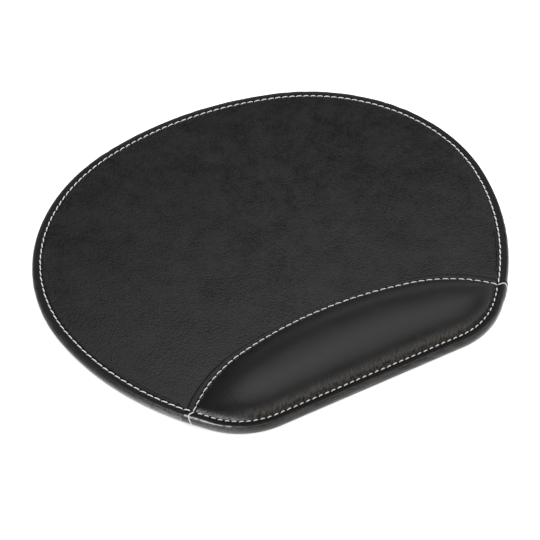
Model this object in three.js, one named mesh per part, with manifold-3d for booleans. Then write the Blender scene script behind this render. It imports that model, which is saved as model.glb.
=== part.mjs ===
// Mouse pad with a padded wrist rest, in millimetres with +Z up.
// The origin is the middle of the underside, and the wrist rest lies toward -Y.

import * as THREE from 'three';
import { mergeVertices } from 'three/addons/utils/BufferGeometryUtils.js';
import Module from 'manifold-3d';

const wasm = await Module();
wasm.setup();

const { abs, atan2, ceil, cos, max, min, PI, round, sign, sin, sqrt } = Math;
const { clamp, degToRad, lerp, smoothstep } = THREE.MathUtils;

// Plan of the pad: a straight front edge, then four tangent arcs on each side up to the rear.
const padWidth = 251;
const padLength = 224;
const frontCornerRadius = 42.1;
const rearRadius = 172.8;
const frontCornerTurn = degToRad(45.6);
const flankTurn = degToRad(35.2);
const rearShoulderTurn = degToRad(81);

// Thickness of each layer, and of the glue between the layers.
const baseBorderThickness = 1;
const hemThickness = 0.8;
const boardThickness = 1.6;
const sheetThickness = 0.8;
const leatherThickness = 1;
const glueThickness = 0.05;

// The rim: its rounded upper edge, the hem turned under the board and the roll beside the base.
const rimRounding = 3;
const hemReach = 12;
const rollReach = 1.6;
const baseGap = 0.3;
const coreGap = 0.3;

// The wrist rest: the seam behind it, whose ends lie in from the pad's sides, and the crown of its cushion.
const restSideMargin = 41.15;
const restDepth = 51.8;
const crownHeight = 14;
const coverThickness = 0.8;
const cushionGap = 0.3;

// The lapped seam: the turned edge of the wrist cover lies on the thinned edge of the panel.
const foldReach = 3.4;
const foldThickness = 0.8;
const lapReach = 1.8;
const lapGap = 0.2;
const foldGap = 0.3;
const foldBlend = 10;

// The stitches and the grooves that they lie in.
const edgeStitchMargin = 4.5;
const rearPitch = 4.1;
const frontPitch = 3.4;
const seamPitch = 4.1;
const threadWidth = 0.95;
const threadHeight = 0.75;
const bobbinWidth = 0.7;
const threadGap = 0.15;
const grooveFlare = 0.15;
const domeLedge = 0.45;
const rowEndGap = 0.6;
const cutOverrun = 5;
const weld = 0.002;
const chordTolerance = 0.11;

// Shares, chosen by hand, of the sizes that they follow.
const rimLimitShare = 0.9;
const rollHeightShare = 0.3;
const rollFootShare = 0.7;
const lapShare = 0.5;
const grooveDepthShare = 0.5;
const baseGrooveShare = 0.6;
const bobbinHeightShare = 0.65;
const seamCentreTurnShare = 0.781;
const seamEndTurnShare = 2.628;
const crestShare = 0.42;
const crownTaperShare = 0.85;
const borderSinkShare = 0.5;
const tipShare = 0.985;
const threadSectionShares = [[0, 1], [1, -1], [-1, -1]];
const holeSizeShare = 0.45;
const rearFallPower = 2.5;

// Places along one stitch, as shares of its pitch, with the thread's size there as a share.
const stitchShares = [[0, holeSizeShare], [0.25, 1], [0.75, 1]];
const tailShares = [[0, holeSizeShare], [0.2, 1], [0.4, 1], [0.6, 1], [0.8, 1]];
const bobbinShares = [[0, 1]];

// Counts of stations and steps.
const rimSteps = 3;
const seamStations = 44;
const crownStations = 28;
const frontSteps = 5;
const rearSteps = 4;
const curveSamples = 160;
const tailStitches = 2;
const bisections = 40;

// Levels of the layers above the table.
const hemBottom = baseBorderThickness + glueThickness;
const boardBottom = hemBottom + hemThickness + glueThickness;
const sheetBottom = boardBottom + boardThickness + glueThickness;
const sheetTop = sheetBottom + sheetThickness;
const leatherBottom = sheetTop + glueThickness;
const padTop = leatherBottom + leatherThickness;
const lapThickness = leatherThickness * lapShare;
const foldTop = leatherBottom + lapThickness + lapGap + foldThickness;
const foldRise = foldTop - padTop;

// Sizes that follow from the ones above.
const restWidth = padWidth - 2 * restSideMargin;
const rimRadius = min(rimRounding, (padTop - boardBottom) * rimLimitShare);
const rimCentre = padTop - rimRadius;
const rollBottom = hemBottom * rollHeightShare;
const baseInset = rollReach + baseGap;
const grooveWidth = threadWidth + 2 * threadGap;
const grooveDepth = leatherThickness * grooveDepthShare;
const baseGrooveWidth = bobbinWidth + 2 * threadGap;
const baseGrooveDepth = baseBorderThickness * baseGrooveShare;
const bobbinHeight = baseGrooveDepth * bobbinHeightShare;
const domeGap = grooveWidth / 2 + domeLedge;

// The right half of the outline. The width and the length set the two radii between the named ones,
// and the straight run closes the outline on its axis.
function outlineChain() {
  const flankStart = frontCornerTurn;
  const flankEnd = flankStart + flankTurn;
  const rearStart = flankEnd + rearShoulderTurn;
  const rearShoulderRadius = (padWidth / 2 - rearRadius * sin(rearStart)) / (1 - sin(rearStart));
  const cornerLength = frontCornerRadius * (1 - cos(flankStart));
  const shoulderLength = rearShoulderRadius * (cos(flankEnd) - cos(rearStart));
  const rearLength = rearRadius * (1 + cos(rearStart));
  const flankLength = padLength - cornerLength - shoulderLength - rearLength;
  const flankRadius = flankLength / (cos(flankStart) - cos(flankEnd));
  const cornerReach = frontCornerRadius * sin(flankStart);
  const flankReach = flankRadius * (sin(flankEnd) - sin(flankStart));
  const shoulderReach = rearShoulderRadius * (sin(rearStart) - sin(flankEnd));
  const straight = rearRadius * sin(rearStart) - shoulderReach - flankReach - cornerReach;
  const arcs = [
    { radius: frontCornerRadius, turn: frontCornerTurn },
    { radius: flankRadius, turn: flankTurn },
    { radius: rearShoulderRadius, turn: rearShoulderTurn },
    { radius: rearRadius, turn: PI - rearStart },
  ];
  return { straight, arcs };
}

// The same chain drawn in by a distance, so that every arc keeps its turn.
function drawnIn(chain, inset) {
  const arcs = chain.arcs.map((arc) => ({ radius: arc.radius - inset, turn: arc.turn }));
  return { straight: chain.straight, arcs };
}

function chainLength(chain) {
  return chain.arcs.reduce((sum, arc) => sum + arc.radius * arc.turn, chain.straight);
}

// The place and heading after a walk along a straight run and arcs that all bend one way.
function walk(chain, distance) {
  const place = { along: min(distance, chain.straight), rise: 0, heading: 0 };
  let left = distance - chain.straight;
  for (const arc of chain.arcs) {
    const next = place.heading + clamp(left / arc.radius, 0, arc.turn);
    place.along += arc.radius * (sin(next) - sin(place.heading));
    place.rise += arc.radius * (cos(place.heading) - cos(next));
    place.heading = next;
    left -= arc.radius * arc.turn;
  }
  return place;
}

// The value between low and high where a rising function passes zero.
function bisect(rising, low, high) {
  let below = low;
  let above = high;
  for (let step = 0; step < bisections; step += 1) {
    const middle = (below + above) / 2;
    if (rising(middle) < 0) {
      below = middle;
    } else {
      above = middle;
    }
  }
  return below;
}

// Evenly spread values from low to high, both ends included.
function spread(low, high, steps) {
  return Array.from({ length: steps + 1 }, (_, step) => lerp(low, high, step / steps));
}

const stitchLine = drawnIn(outlineChain(), edgeStitchMargin);
const halfStitchLine = chainLength(stitchLine);
const wholeStitchLine = 2 * halfStitchLine;

// A point of the outline, with the direction that points out of the pad there. The distance runs along
// the edge stitch line from the middle of the front, toward +X first, and the inset from the pad's edge.
function edgePoint(distance, inset) {
  const wrapped = (distance + wholeStitchLine) % wholeStitchLine;
  const side = wrapped > halfStitchLine ? -1 : 1;
  const place = walk(stitchLine, side < 0 ? wholeStitchLine - wrapped : wrapped);
  const outX = side * sin(place.heading);
  const outY = -cos(place.heading);
  const reach = edgeStitchMargin - inset;
  const x = side * place.along + outX * reach;
  const y = edgeStitchMargin - padLength / 2 + place.rise + outY * reach;
  return { x, y, outX, outY };
}

// Where the seam behind the wrist rest meets the edge stitch line.
const crossing = bisect((d) => edgePoint(d, edgeStitchMargin).x - restWidth / 2, 0, halfStitchLine / 2);
const crossingPoint = edgePoint(crossing, edgeStitchMargin);
const seamApex = restDepth - padLength / 2;

// The right half of the seam: a wide arc in the middle and a tighter one down to the crossing.
function seamChain() {
  const reach = crossingPoint.x;
  const drop = seamApex - crossingPoint.y;
  const chordAngle = atan2(drop, reach);
  const middleTurn = chordAngle * seamCentreTurnShare;
  const wholeTurn = chordAngle * seamEndTurnShare;
  const endReach = sin(wholeTurn) - sin(middleTurn);
  const endDrop = cos(middleTurn) - cos(wholeTurn);
  const middleDrop = 1 - cos(middleTurn);
  const scale = sin(middleTurn) * endDrop - endReach * middleDrop;
  const middleRadius = (reach * endDrop - drop * endReach) / scale;
  const endRadius = (drop * sin(middleTurn) - reach * middleDrop) / scale;
  const arcs = [
    { radius: middleRadius, turn: middleTurn },
    { radius: endRadius, turn: wholeTurn - middleTurn },
  ];
  return { straight: 0, arcs };
}

const seamLine = seamChain();
const halfSeam = chainLength(seamLine);

// A point of the seam, moved back toward the rear by a shift. The distance runs from the middle to +X.
function seamPoint(distance, shift) {
  const side = distance < 0 ? -1 : 1;
  const place = walk(seamLine, abs(distance));
  const outX = side * sin(place.heading);
  const outY = cos(place.heading);
  return { x: side * place.along + outX * shift, y: seamApex - place.rise + outY * shift, outX, outY };
}

// How far a place on the stitch line lies past the crossing on its side, toward the rear.
function pastCrossing(distance) {
  const wrapped = (distance + wholeStitchLine) % wholeStitchLine;
  return min(wrapped, wholeStitchLine - wrapped) - crossing;
}

// The wrist cover stands higher over the lap at each crossing, and comes down to the rim beside it.
function coverRise(distance) {
  const away = abs(pastCrossing(distance));
  return foldRise * (1 - smoothstep(away, foldReach, foldReach + foldBlend));
}

// The rear row of stitches climbs from the panel onto the turned edge of the cover.
function rowClimb(distance) {
  const away = pastCrossing(distance) - foldReach;
  return foldRise * (1 - smoothstep(away, threadWidth, threadWidth + rearPitch / 2));
}

// A closed solid through rings of equally many points. A run that isn't closed on itself is capped.
function loft(rings, closed = false) {
  const count = rings[0].length;
  const points = rings.flat();
  const faces = [];
  const spans = closed ? rings.length : rings.length - 1;
  for (let span = 0; span < spans; span += 1) {
    const near = span * count;
    const far = ((span + 1) % rings.length) * count;
    for (let k = 0; k < count; k += 1) {
      const next = (k + 1) % count;
      faces.push([near + k, near + next, far + next], [near + k, far + next, far + k]);
    }
  }
  if (!closed) {
    const first = points.push(middleOf(rings[0])) - 1;
    const last = points.push(middleOf(rings.at(-1))) - 1;
    const end = (rings.length - 1) * count;
    for (let k = 0; k < count; k += 1) {
      const next = (k + 1) % count;
      faces.push([first, next, k], [last, end + k, end + next]);
    }
  }
  return facingOut(points, faces);
}

function middleOf(ring) {
  const sum = ring.reduce((total, point) => total.add(point), new THREE.Vector3());
  return sum.divideScalar(ring.length);
}

// A geometry from points and faces, turned the right way out by the sign of its volume.
function facingOut(points, faces) {
  const volume = faces.reduce((sum, [a, b, c]) => {
    const cross = new THREE.Vector3().crossVectors(points[b], points[c]);
    return sum + points[a].dot(cross);
  }, 0);
  const order = volume < 0 ? faces.map(([a, b, c]) => [a, c, b]) : faces;
  const geometry = new THREE.BufferGeometry();
  const positions = points.flatMap((point) => point.toArray());
  geometry.setAttribute('position', new THREE.Float32BufferAttribute(positions, 3));
  geometry.setIndex(order.flat());
  return geometry;
}

// A closed geometry as a solid that can be joined and cut.
function solid(geometry) {
  const bare = geometry.clone();
  bare.deleteAttribute('normal');
  bare.deleteAttribute('uv');
  const merged = mergeVertices(bare);
  const vertProperties = new Float32Array(merged.attributes.position.array);
  const triVerts = new Uint32Array(merged.index.array);
  return new wasm.Manifold(new wasm.Mesh({ numProp: 3, vertProperties, triVerts }));
}

// The geometry of a cut body. Corners closer than the weld are joined, and the faces between them go.
function geometryOf(body) {
  const { vertProperties, triVerts } = body.getMesh();
  const geometry = new THREE.BufferGeometry();
  geometry.setAttribute('position', new THREE.BufferAttribute(vertProperties, 3));
  geometry.setIndex(new THREE.BufferAttribute(triVerts, 1));
  const welded = mergeVertices(geometry, weld);
  const kept = [];
  for (let face = 0; face < welded.index.count; face += 3) {
    const corners = [0, 1, 2].map((corner) => welded.index.getX(face + corner));
    if (new Set(corners).size === corners.length) {
      kept.push(...corners);
    }
  }
  welded.setIndex(kept);
  return welded;
}

// An upright solid over a plan, between two levels.
function prism(plan, bottom, top) {
  const shape = new THREE.Shape(plan.map((point) => new THREE.Vector2(point.x, point.y)));
  const geometry = new THREE.ExtrudeGeometry(shape, { depth: top - bottom, bevelEnabled: false });
  return solid(geometry.translate(0, 0, bottom));
}

// Stations along half of the outline. On each arc they are spread so that no chord strays from the
// stitch line by more than the tolerance.
function halfStations() {
  const stations = [0, stitchLine.straight];
  for (const arc of stitchLine.arcs) {
    const steps = ceil(arc.turn * sqrt(arc.radius / (8 * chordTolerance)));
    const start = stations.at(-1);
    stations.push(...spread(start, start + arc.radius * arc.turn, steps).slice(1));
  }
  return stations;
}

const rightStations = halfStations();
const leftStations = rightStations.slice(1).reverse().map((distance) => wholeStitchLine - distance);
const rimDistances = [...rightStations.slice(0, -1), ...leftStations];

// A ring round the pad. Its inset and its height may be numbers or functions of the distance.
function rimRing(inset, height) {
  return rimDistances.map((distance) => {
    const point = edgePoint(distance, valueAt(inset, distance));
    return new THREE.Vector3(point.x, point.y, valueAt(height, distance));
  });
}

function valueAt(value, distance) {
  return typeof value === 'function' ? value(distance) : value;
}

// Rings over the rounded upper edge of the rim, moved out by a growth that may change along the rim.
function rimRings(growth) {
  return spread(0, PI / 2, rimSteps).map((angle) => {
    const radiusAt = (distance) => rimRadius + valueAt(growth, distance);
    const insetAt = (distance) => rimRadius - radiusAt(distance) * cos(angle);
    return rimRing(insetAt, (distance) => rimCentre + radiusAt(distance) * sin(angle));
  });
}

// The pad as one closed body, moved out by a growth. A negative growth draws its underside in too.
function padBody(growth) {
  const under = (distance) => max(0, -valueAt(growth, distance));
  const foot = rollBottom + rollReach * rollFootShare;
  const rings = [
    rimRing(rollReach, (distance) => hemBottom + under(distance)),
    rimRing(rollReach * rollFootShare, (distance) => rollBottom + under(distance)),
    rimRing((distance) => -valueAt(growth, distance), foot),
    ...rimRings(growth),
    rimRing(2 * edgeStitchMargin, padTop - under(0)),
  ];
  return solid(loft(rings));
}

// The space inside the leather, from the hem's upper side to the underside of the leather on top.
function coreBody() {
  const rings = [rimRing(leatherThickness, boardBottom - glueThickness), ...rimRings(-leatherThickness)];
  return solid(loft(rings));
}

// The window left open by the hem under the board.
function hemWindow() {
  return prism(rimRing(hemReach, 0), -cutOverrun, boardBottom);
}

// Everything in front of the seam moved back by a shift, out past the rim.
function frontRegion(shift) {
  const trimmed = halfSeam - abs(shift);
  const border = spread(-trimmed, trimmed, seamStations).map((distance) => seamPoint(distance, shift));
  const ends = [rimRadius, -cutOverrun].map((inset) => edgePoint(crossing + shift, inset));
  const right = [...ends, { x: padWidth, y: -padLength }];
  const left = right.map((point) => ({ x: -point.x, y: point.y })).reverse();
  return prism([...border, ...right, ...left], -cutOverrun, padTop + crownHeight + cutOverrun);
}

// The place on a path, with the directions across it and out of the surface that it lies on.
function pathPlace(x, y, z, across, up) {
  return { position: new THREE.Vector3(x, y, z), across, up };
}

// Along the edge stitch line on top of the pad.
function edgePath(riseAt) {
  return (distance) => {
    const point = edgePoint(distance, edgeStitchMargin);
    const across = new THREE.Vector3(point.outX, point.outY, 0);
    return pathPlace(point.x, point.y, padTop + riseAt(distance), across, new THREE.Vector3(0, 0, 1));
  };
}

// Along the edge stitch line on the underside.
function underPath(distance) {
  const point = edgePoint(distance, edgeStitchMargin);
  const across = new THREE.Vector3(point.outX, point.outY, 0);
  return pathPlace(point.x, point.y, 0, across, new THREE.Vector3(0, 0, -1));
}

// Along the seam at a level.
function seamPathAt(level) {
  return (distance) => {
    const point = seamPoint(distance, 0);
    const across = new THREE.Vector3(point.outX, point.outY, 0);
    return pathPlace(point.x, point.y, level, across, new THREE.Vector3(0, 0, 1));
  };
}

const tailFlat = edgeStitchMargin - rimRadius;
const tailRadius = rimRadius + foldRise;
const tailWall = (rimCentre - rollBottom) / 2;
const tailLength = tailFlat + tailRadius * PI / 2 + tailWall;

// Along the seam on the turned edge, and at both crossings on over the rim and down its wall.
function seamPath(distance) {
  const beyond = abs(distance) - halfSeam;
  if (beyond <= 0) {
    return seamPathAt(foldTop)(distance);
  }
  const side = sign(distance);
  const turn = clamp((beyond - tailFlat) / tailRadius, 0, PI / 2);
  const wallDrop = max(0, beyond - tailFlat - tailRadius * PI / 2);
  const inset = rimRadius + max(0, tailFlat - beyond) - tailRadius * sin(turn);
  const height = rimCentre + tailRadius * cos(turn) - wallDrop;
  const point = edgePoint(side * crossing, inset);
  const across = new THREE.Vector3(-side * point.outY, side * point.outX, 0);
  const up = new THREE.Vector3(point.outX * sin(turn), point.outY * sin(turn), cos(turn));
  return pathPlace(point.x, point.y, height, across, up);
}

// A channel with flared walls, swept along a path as the cutter for a groove.
function grooveCutter(path, distances, width, depth, closed = false) {
  const corners = [[-width / 2, -depth], [width / 2, -depth]];
  corners.push([width / 2 + grooveFlare, depth], [-width / 2 - grooveFlare, depth]);
  return solid(loft(distances.map((distance) => {
    const place = path(distance);
    return corners.map(([across, up]) => offsetFrom(place, across, up));
  }), closed));
}

function offsetFrom(place, across, up) {
  const point = place.position.clone().addScaledVector(place.across, across);
  return point.addScaledVector(place.up, up);
}

// Rings of a thread for a run of stitches: thin where it dips into a hole and full between the holes.
function stitchRings(path, from, to, stitches, shares, size) {
  const pitch = (to - from) / stitches;
  const rings = [];
  for (let stitch = 0; stitch < stitches; stitch += 1) {
    for (const [share, scaleShare] of shares) {
      rings.push(threadRing(path(from + (stitch + share) * pitch), size, scaleShare));
    }
  }
  return rings;
}

// A section of thread that lies a gap above the floor of its groove.
function threadRing(place, size, scaleShare) {
  const halfWidth = size.width * scaleShare / 2;
  const halfHeight = size.height * scaleShare / 2;
  const level = threadGap + halfHeight - size.depth;
  return threadSectionShares.map(
    ([across, up]) => offsetFrom(place, across * halfWidth, level + up * halfHeight),
  );
}

// A run of stitches as one thread, with its last hole closed.
function stitchRow(path, from, to, pitch, shares, size) {
  const stitches = max(1, round((to - from) / pitch));
  const rings = stitchRings(path, from, to, stitches, shares, size);
  rings.push(threadRing(path(to), size, holeSizeShare));
  return loft(rings);
}

const needleSize = { width: threadWidth, height: threadHeight, depth: grooveDepth };
const bobbinSize = { width: bobbinWidth, height: bobbinHeight, depth: baseGrooveDepth };

// Height of the crown over its base, as a share: steep at the front and easing toward the seam.
function crownProfile(across) {
  if (across < crestShare) {
    const away = 1 - across / crestShare;
    return sqrt(max(0, 1 - away * away));
  }
  return 1 - ((across - crestShare) / (1 - crestShare)) ** rearFallPower;
}

// Where a curve given by points with rising x stands at an x.
function curveY(points, x) {
  const next = clamp(points.findIndex((point) => point.x > x), 1, points.length - 1);
  const low = points[next - 1];
  const high = points[next];
  return lerp(low.y, high.y, clamp((x - low.x) / (high.x - low.x), 0, 1));
}

// The front and rear borders of the wrist rest, drawn in from the two stitch lines.
function restBorders(inset) {
  const drawn = domeGap + inset;
  const front = spread(-crossing, crossing, curveSamples);
  const rear = spread(-halfSeam, halfSeam, curveSamples);
  return {
    front: front.map((distance) => edgePoint(distance, edgeStitchMargin + drawn)),
    rear: rear.map((distance) => seamPoint(distance, -drawn)),
  };
}

function restSpan(borders, x) {
  return curveY(borders.rear, x) - curveY(borders.front, x);
}

const outerBorders = restBorders(0);
const fullSpan = restSpan(outerBorders, 0);

// Steps across the wrist rest from the seam to the front, closer together where the front is steep.
function crownSteps() {
  const behind = spread(1, crestShare, rearSteps);
  const ahead = spread(PI / 2, 0, frontSteps).slice(1).map((angle) => crestShare * (1 - cos(angle)));
  return [...behind, ...ahead];
}

// The crowned form of the wrist rest on a flat bottom, drawn in on plan. Its top lies a sink below the
// crown, and its border a drop below the leather beside it.
function crownedForm(inset, sink, drop, bottom) {
  const borders = restBorders(inset);
  const reach = min(borders.front.at(-1).x, borders.rear.at(-1).x);
  const tip = bisect((x) => -restSpan(borders, x), 0, reach) * tipShare;
  const steps = crownSteps();
  const rings = spread(0, PI, crownStations).map((angle) => {
    const x = -tip * cos(angle);
    const front = curveY(borders.front, x);
    const span = restSpan(borders, x);
    const fullness = (span / fullSpan) ** crownTaperShare;
    const rise = (crownHeight - sink + drop) * fullness;
    const top = steps.map((across) => {
      const base = lerp(padTop, foldTop, across) - drop;
      return new THREE.Vector3(x, front + span * across, base + rise * crownProfile(across));
    });
    return [new THREE.Vector3(x, front, bottom), new THREE.Vector3(x, front + span, bottom), ...top];
  });
  return loft(rings);
}

// The turned edge of the cover along the seam, from the fold to just under the crown.
function foldStrip() {
  const reach = halfSeam;
  const behind = spread(-reach, reach, seamStations).map((distance) => seamPoint(distance, foldReach));
  const ahead = spread(reach, -reach, seamStations).map((distance) => seamPoint(distance, -lapReach));
  return prism([...behind, ...ahead], foldTop - foldThickness, foldTop);
}

const seamDistances = spread(-halfSeam, halfSeam, seamStations);
const tailDistances = spread(halfSeam, halfSeam + tailLength, 2 * tailStitches * tailShares.length);
const seamCutDistances = [
  ...tailDistances.slice(1).map((distance) => -distance).reverse(),
  ...seamDistances,
  ...tailDistances.slice(1),
];

// The base sheet: thin over the hem, thick inside it, with a groove for the stitches underneath.
function nonSlipBase() {
  const grooveFar = edgeStitchMargin + baseGrooveWidth / 2;
  const grooveNear = edgeStitchMargin - baseGrooveWidth / 2;
  const centreInset = hemReach + baseGap;
  return loft([
    rimRing(grooveFar + grooveFlare, 0),
    rimRing(grooveFar, baseGrooveDepth),
    rimRing(grooveNear, baseGrooveDepth),
    rimRing(grooveNear - grooveFlare, 0),
    rimRing(baseInset, 0),
    rimRing(baseInset, baseBorderThickness),
    rimRing(centreInset, baseBorderThickness),
    rimRing(centreInset, boardBottom - glueThickness),
  ]);
}

// How far in the leather's inner side lies at a level.
function coreInset(level) {
  const radius = rimRadius - leatherThickness;
  const above = clamp(level - rimCentre, 0, radius);
  return rimRadius - sqrt(radius * radius - above * above);
}

function stiffenerBoard() {
  const inset = coreInset(sheetBottom) + coreGap;
  return loft([rimRing(inset, boardBottom), rimRing(inset, boardBottom + boardThickness)]);
}

// The foam sheet under the leather, with a groove for the underside of the seam.
function foamSheet() {
  const rings = [
    rimRing(coreInset(sheetBottom) + coreGap, sheetBottom),
    rimRing(coreInset(sheetTop) + coreGap, sheetTop),
  ];
  const groove = grooveCutter(seamPathAt(sheetTop), seamDistances, baseGrooveWidth, baseGrooveDepth);
  return geometryOf(solid(loft(rings)).subtract(groove));
}

// The panel: leather wrapped over the rim and under the board, thinned where the cover laps it.
function mousingPanel() {
  const lapped = frontRegion(foldReach + foldGap).subtract(padBody(lapThickness - leatherThickness));
  const groove = grooveCutter(edgePath(() => 0), rimDistances, grooveWidth, grooveDepth, true);
  return geometryOf(padBody(0)
    .subtract(coreBody())
    .subtract(hemWindow())
    .subtract(frontRegion(-lapReach))
    .subtract(lapped)
    .subtract(groove));
}

// The wrist cover: leather over the cushion, its front edge wrapped round the rim and its rear edge
// turned in and laid on the panel.
function wristCover() {
  const hollowDrop = coverThickness * borderSinkShare;
  const hollow = solid(crownedForm(coverThickness, coverThickness, hollowDrop, boardBottom));
  const lapSpace = padBody(lapThickness + lapGap - leatherThickness)
    .subtract(frontRegion(-lapReach - lapGap));
  const edgeGroove = grooveCutter(edgePath(coverRise), rimDistances, grooveWidth, grooveDepth, true);
  const seamGroove = grooveCutter(seamPath, seamCutDistances, grooveWidth, grooveDepth);
  return geometryOf(padBody(coverRise)
    .intersect(frontRegion(foldReach))
    .add(foldStrip())
    .add(solid(crownedForm(0, 0, leatherThickness * borderSinkShare, leatherBottom)))
    .subtract(coreBody())
    .subtract(hemWindow())
    .subtract(hollow)
    .subtract(lapSpace)
    .subtract(edgeGroove)
    .subtract(seamGroove));
}

function wristCushion() {
  const inset = coverThickness + cushionGap;
  return crownedForm(inset, inset, inset * borderSinkShare, leatherBottom);
}

// The seam's upper thread, with its tails over the rim at both crossings.
function seamThread() {
  const stitches = round(2 * halfSeam / seamPitch);
  const end = halfSeam + tailLength;
  return loft([
    ...stitchRings(seamPath, -end, -halfSeam, tailStitches, tailShares, needleSize),
    ...stitchRings(seamPath, -halfSeam, halfSeam, stitches, stitchShares, needleSize),
    ...stitchRings(seamPath, halfSeam, end, tailStitches, tailShares, needleSize),
    threadRing(seamPath(end), needleSize, holeSizeShare),
  ]);
}

const rowStart = crossing + threadWidth + rowEndGap;
const frontEnd = crossing - threadWidth - rowEndGap;

// The rear row of stitches, on top through the panel or below through the base.
function rearRow(path, shares, size) {
  return stitchRow(path, rowStart, wholeStitchLine - rowStart, rearPitch, shares, size);
}

// The front row of stitches, on top through the cover or below through the base.
function frontRow(path, shares, size) {
  return stitchRow(path, -frontEnd, frontEnd, frontPitch, shares, size);
}

function seamBobbinThread() {
  const end = halfSeam - bobbinWidth;
  return stitchRow(seamPathAt(sheetTop), -end, end, seamPitch, bobbinShares, bobbinSize);
}

const panelLeather = { color: 0x2b2c2e, roughness: 0.62, metalness: 0 };
const coverLeather = { color: 0x2c2c2e, roughness: 0.45, metalness: 0 };
const backing = { color: 0x1d1d1e, roughness: 0.9, metalness: 0 };
const greyBoard = { color: 0x8b8578, roughness: 0.9, metalness: 0 };
const darkFoam = { color: 0x3c3c3d, roughness: 0.95, metalness: 0 };
const paleFoam = { color: 0xd9d2bd, roughness: 0.95, metalness: 0 };
const thread = { color: 0xe9e7e0, roughness: 0.7, metalness: 0 };

const pieces = [
  ['non_slip_base', nonSlipBase(), backing],
  ['stiffener_board', stiffenerBoard(), greyBoard],
  ['foam_sheet', foamSheet(), darkFoam],
  ['mousing_panel', mousingPanel(), panelLeather],
  ['wrist_cushion', wristCushion(), paleFoam],
  ['wrist_cover', wristCover(), coverLeather],
  ['seam_thread', seamThread(), thread],
  ['seam_bobbin_thread', seamBobbinThread(), thread],
  ['edge_thread_rear', rearRow(edgePath(rowClimb), stitchShares, needleSize), thread],
  ['edge_thread_front', frontRow(edgePath(coverRise), stitchShares, needleSize), thread],
  ['edge_bobbin_rear', rearRow(underPath, bobbinShares, bobbinSize), thread],
  ['edge_bobbin_front', frontRow(underPath, bobbinShares, bobbinSize), thread],
];

const pad = new THREE.Group();
for (const [name, geometry, finish] of pieces) {
  geometry.computeVertexNormals();
  const mesh = new THREE.Mesh(geometry, new THREE.MeshStandardMaterial(finish));
  mesh.name = name;
  pad.add(mesh);
}

export default pad;
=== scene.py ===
"""A stitched leather mouse pad with a padded wrist rest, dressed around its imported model.

Lengths are in metres. The wrist rest lies toward -Y, and the underside stands on Z = 0.
"""

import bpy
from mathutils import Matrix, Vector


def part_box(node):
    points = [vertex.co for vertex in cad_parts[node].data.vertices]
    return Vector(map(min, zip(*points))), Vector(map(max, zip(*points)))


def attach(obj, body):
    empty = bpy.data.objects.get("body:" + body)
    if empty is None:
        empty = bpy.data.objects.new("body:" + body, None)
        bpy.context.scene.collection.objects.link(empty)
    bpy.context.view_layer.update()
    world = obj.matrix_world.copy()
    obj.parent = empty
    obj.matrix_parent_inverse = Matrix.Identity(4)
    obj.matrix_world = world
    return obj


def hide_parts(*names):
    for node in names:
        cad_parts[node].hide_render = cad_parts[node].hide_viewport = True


bl_info = {
    "name": "Stitched Mouse Pad",
    "version": (1, 0, 0),
    "blender": (4, 5, 0),
    "location": "3D View > Sidebar > Mouse Pad",
    "description": "Leather, padding, threads and studio of a stitched mouse pad with a wrist rest",
    "category": "Add Mesh",
}

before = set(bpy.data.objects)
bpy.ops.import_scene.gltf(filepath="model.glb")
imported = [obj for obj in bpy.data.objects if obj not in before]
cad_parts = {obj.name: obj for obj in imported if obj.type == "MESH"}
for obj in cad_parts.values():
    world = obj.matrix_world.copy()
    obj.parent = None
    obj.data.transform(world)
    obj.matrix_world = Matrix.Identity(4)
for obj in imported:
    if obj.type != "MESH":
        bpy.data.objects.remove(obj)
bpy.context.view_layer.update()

import math

import bmesh
import bpy
import numpy as np
from bpy.props import FloatProperty, FloatVectorProperty, PointerProperty
from mathutils import Matrix, Vector

PANEL_LOW, PANEL_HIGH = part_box("mousing_panel")
COVER_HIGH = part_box("wrist_cover")[1]
CUSHION_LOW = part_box("wrist_cushion")[0]
FULL_TURN = 2 * math.pi
QUARTER_TURN = math.pi / 2
WELD = 1e-7


# Sizes and colours that a user would change

def metres(name, description, default):
    """A length."""
    return FloatProperty(name=name, description=description, unit="LENGTH", default=default)


def degrees(name, description, default):
    """An angle, with its default in degrees."""
    return FloatProperty(
        name=name, description=description, unit="ROTATION", default=math.radians(default))


def number(name, description, default):
    """A share, a power or a strength."""
    return FloatProperty(name=name, description=description, default=default)


def point(name, description, *default):
    """A place in the frame."""
    return FloatVectorProperty(
        name=name, description=description, subtype="TRANSLATION", unit="LENGTH", size=3, default=default)


def colour(name, description, *default):
    """An opaque colour."""
    return FloatVectorProperty(
        name=name, description=description, subtype="COLOR", size=4, default=(*default, 1))


class PadPlan(bpy.types.PropertyGroup):
    """The outline of the pad, the stitch line along it and the seam behind the wrist rest."""

    width: metres("Width", "Width of the pad over all", 0.251)
    length: metres("Length", "Length of the pad over all", 0.224)
    corner_radius: metres("Front Corner Radius", "Radius of each front corner", 0.0421)
    rear_radius: metres("Rear Radius", "Radius of the rear edge", 0.1728)
    corner_turn: degrees("Front Corner Turn", "Angle of each front corner", 45.6)
    flank_turn: degrees("Flank Turn", "Angle of each flank", 35.2)
    shoulder_turn: degrees("Shoulder Turn", "Angle of each rear shoulder", 81)
    stitch_margin: metres("Stitch Margin", "From the pad's edge to its stitches", 0.0045)
    rest_side_margin: metres("Rest Side Margin", "From the pad's side to each end of the seam", 0.04115)
    rest_depth: metres("Rest Depth", "From the front edge to the seam, in the middle", 0.0518)
    seam_middle_share: number(
        "Seam Middle Share", "Turn of the seam's middle arc over its chord angle", 0.781)
    seam_end_share: number("Seam End Share", "Turn of the whole half seam over its chord angle", 2.628)


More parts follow.
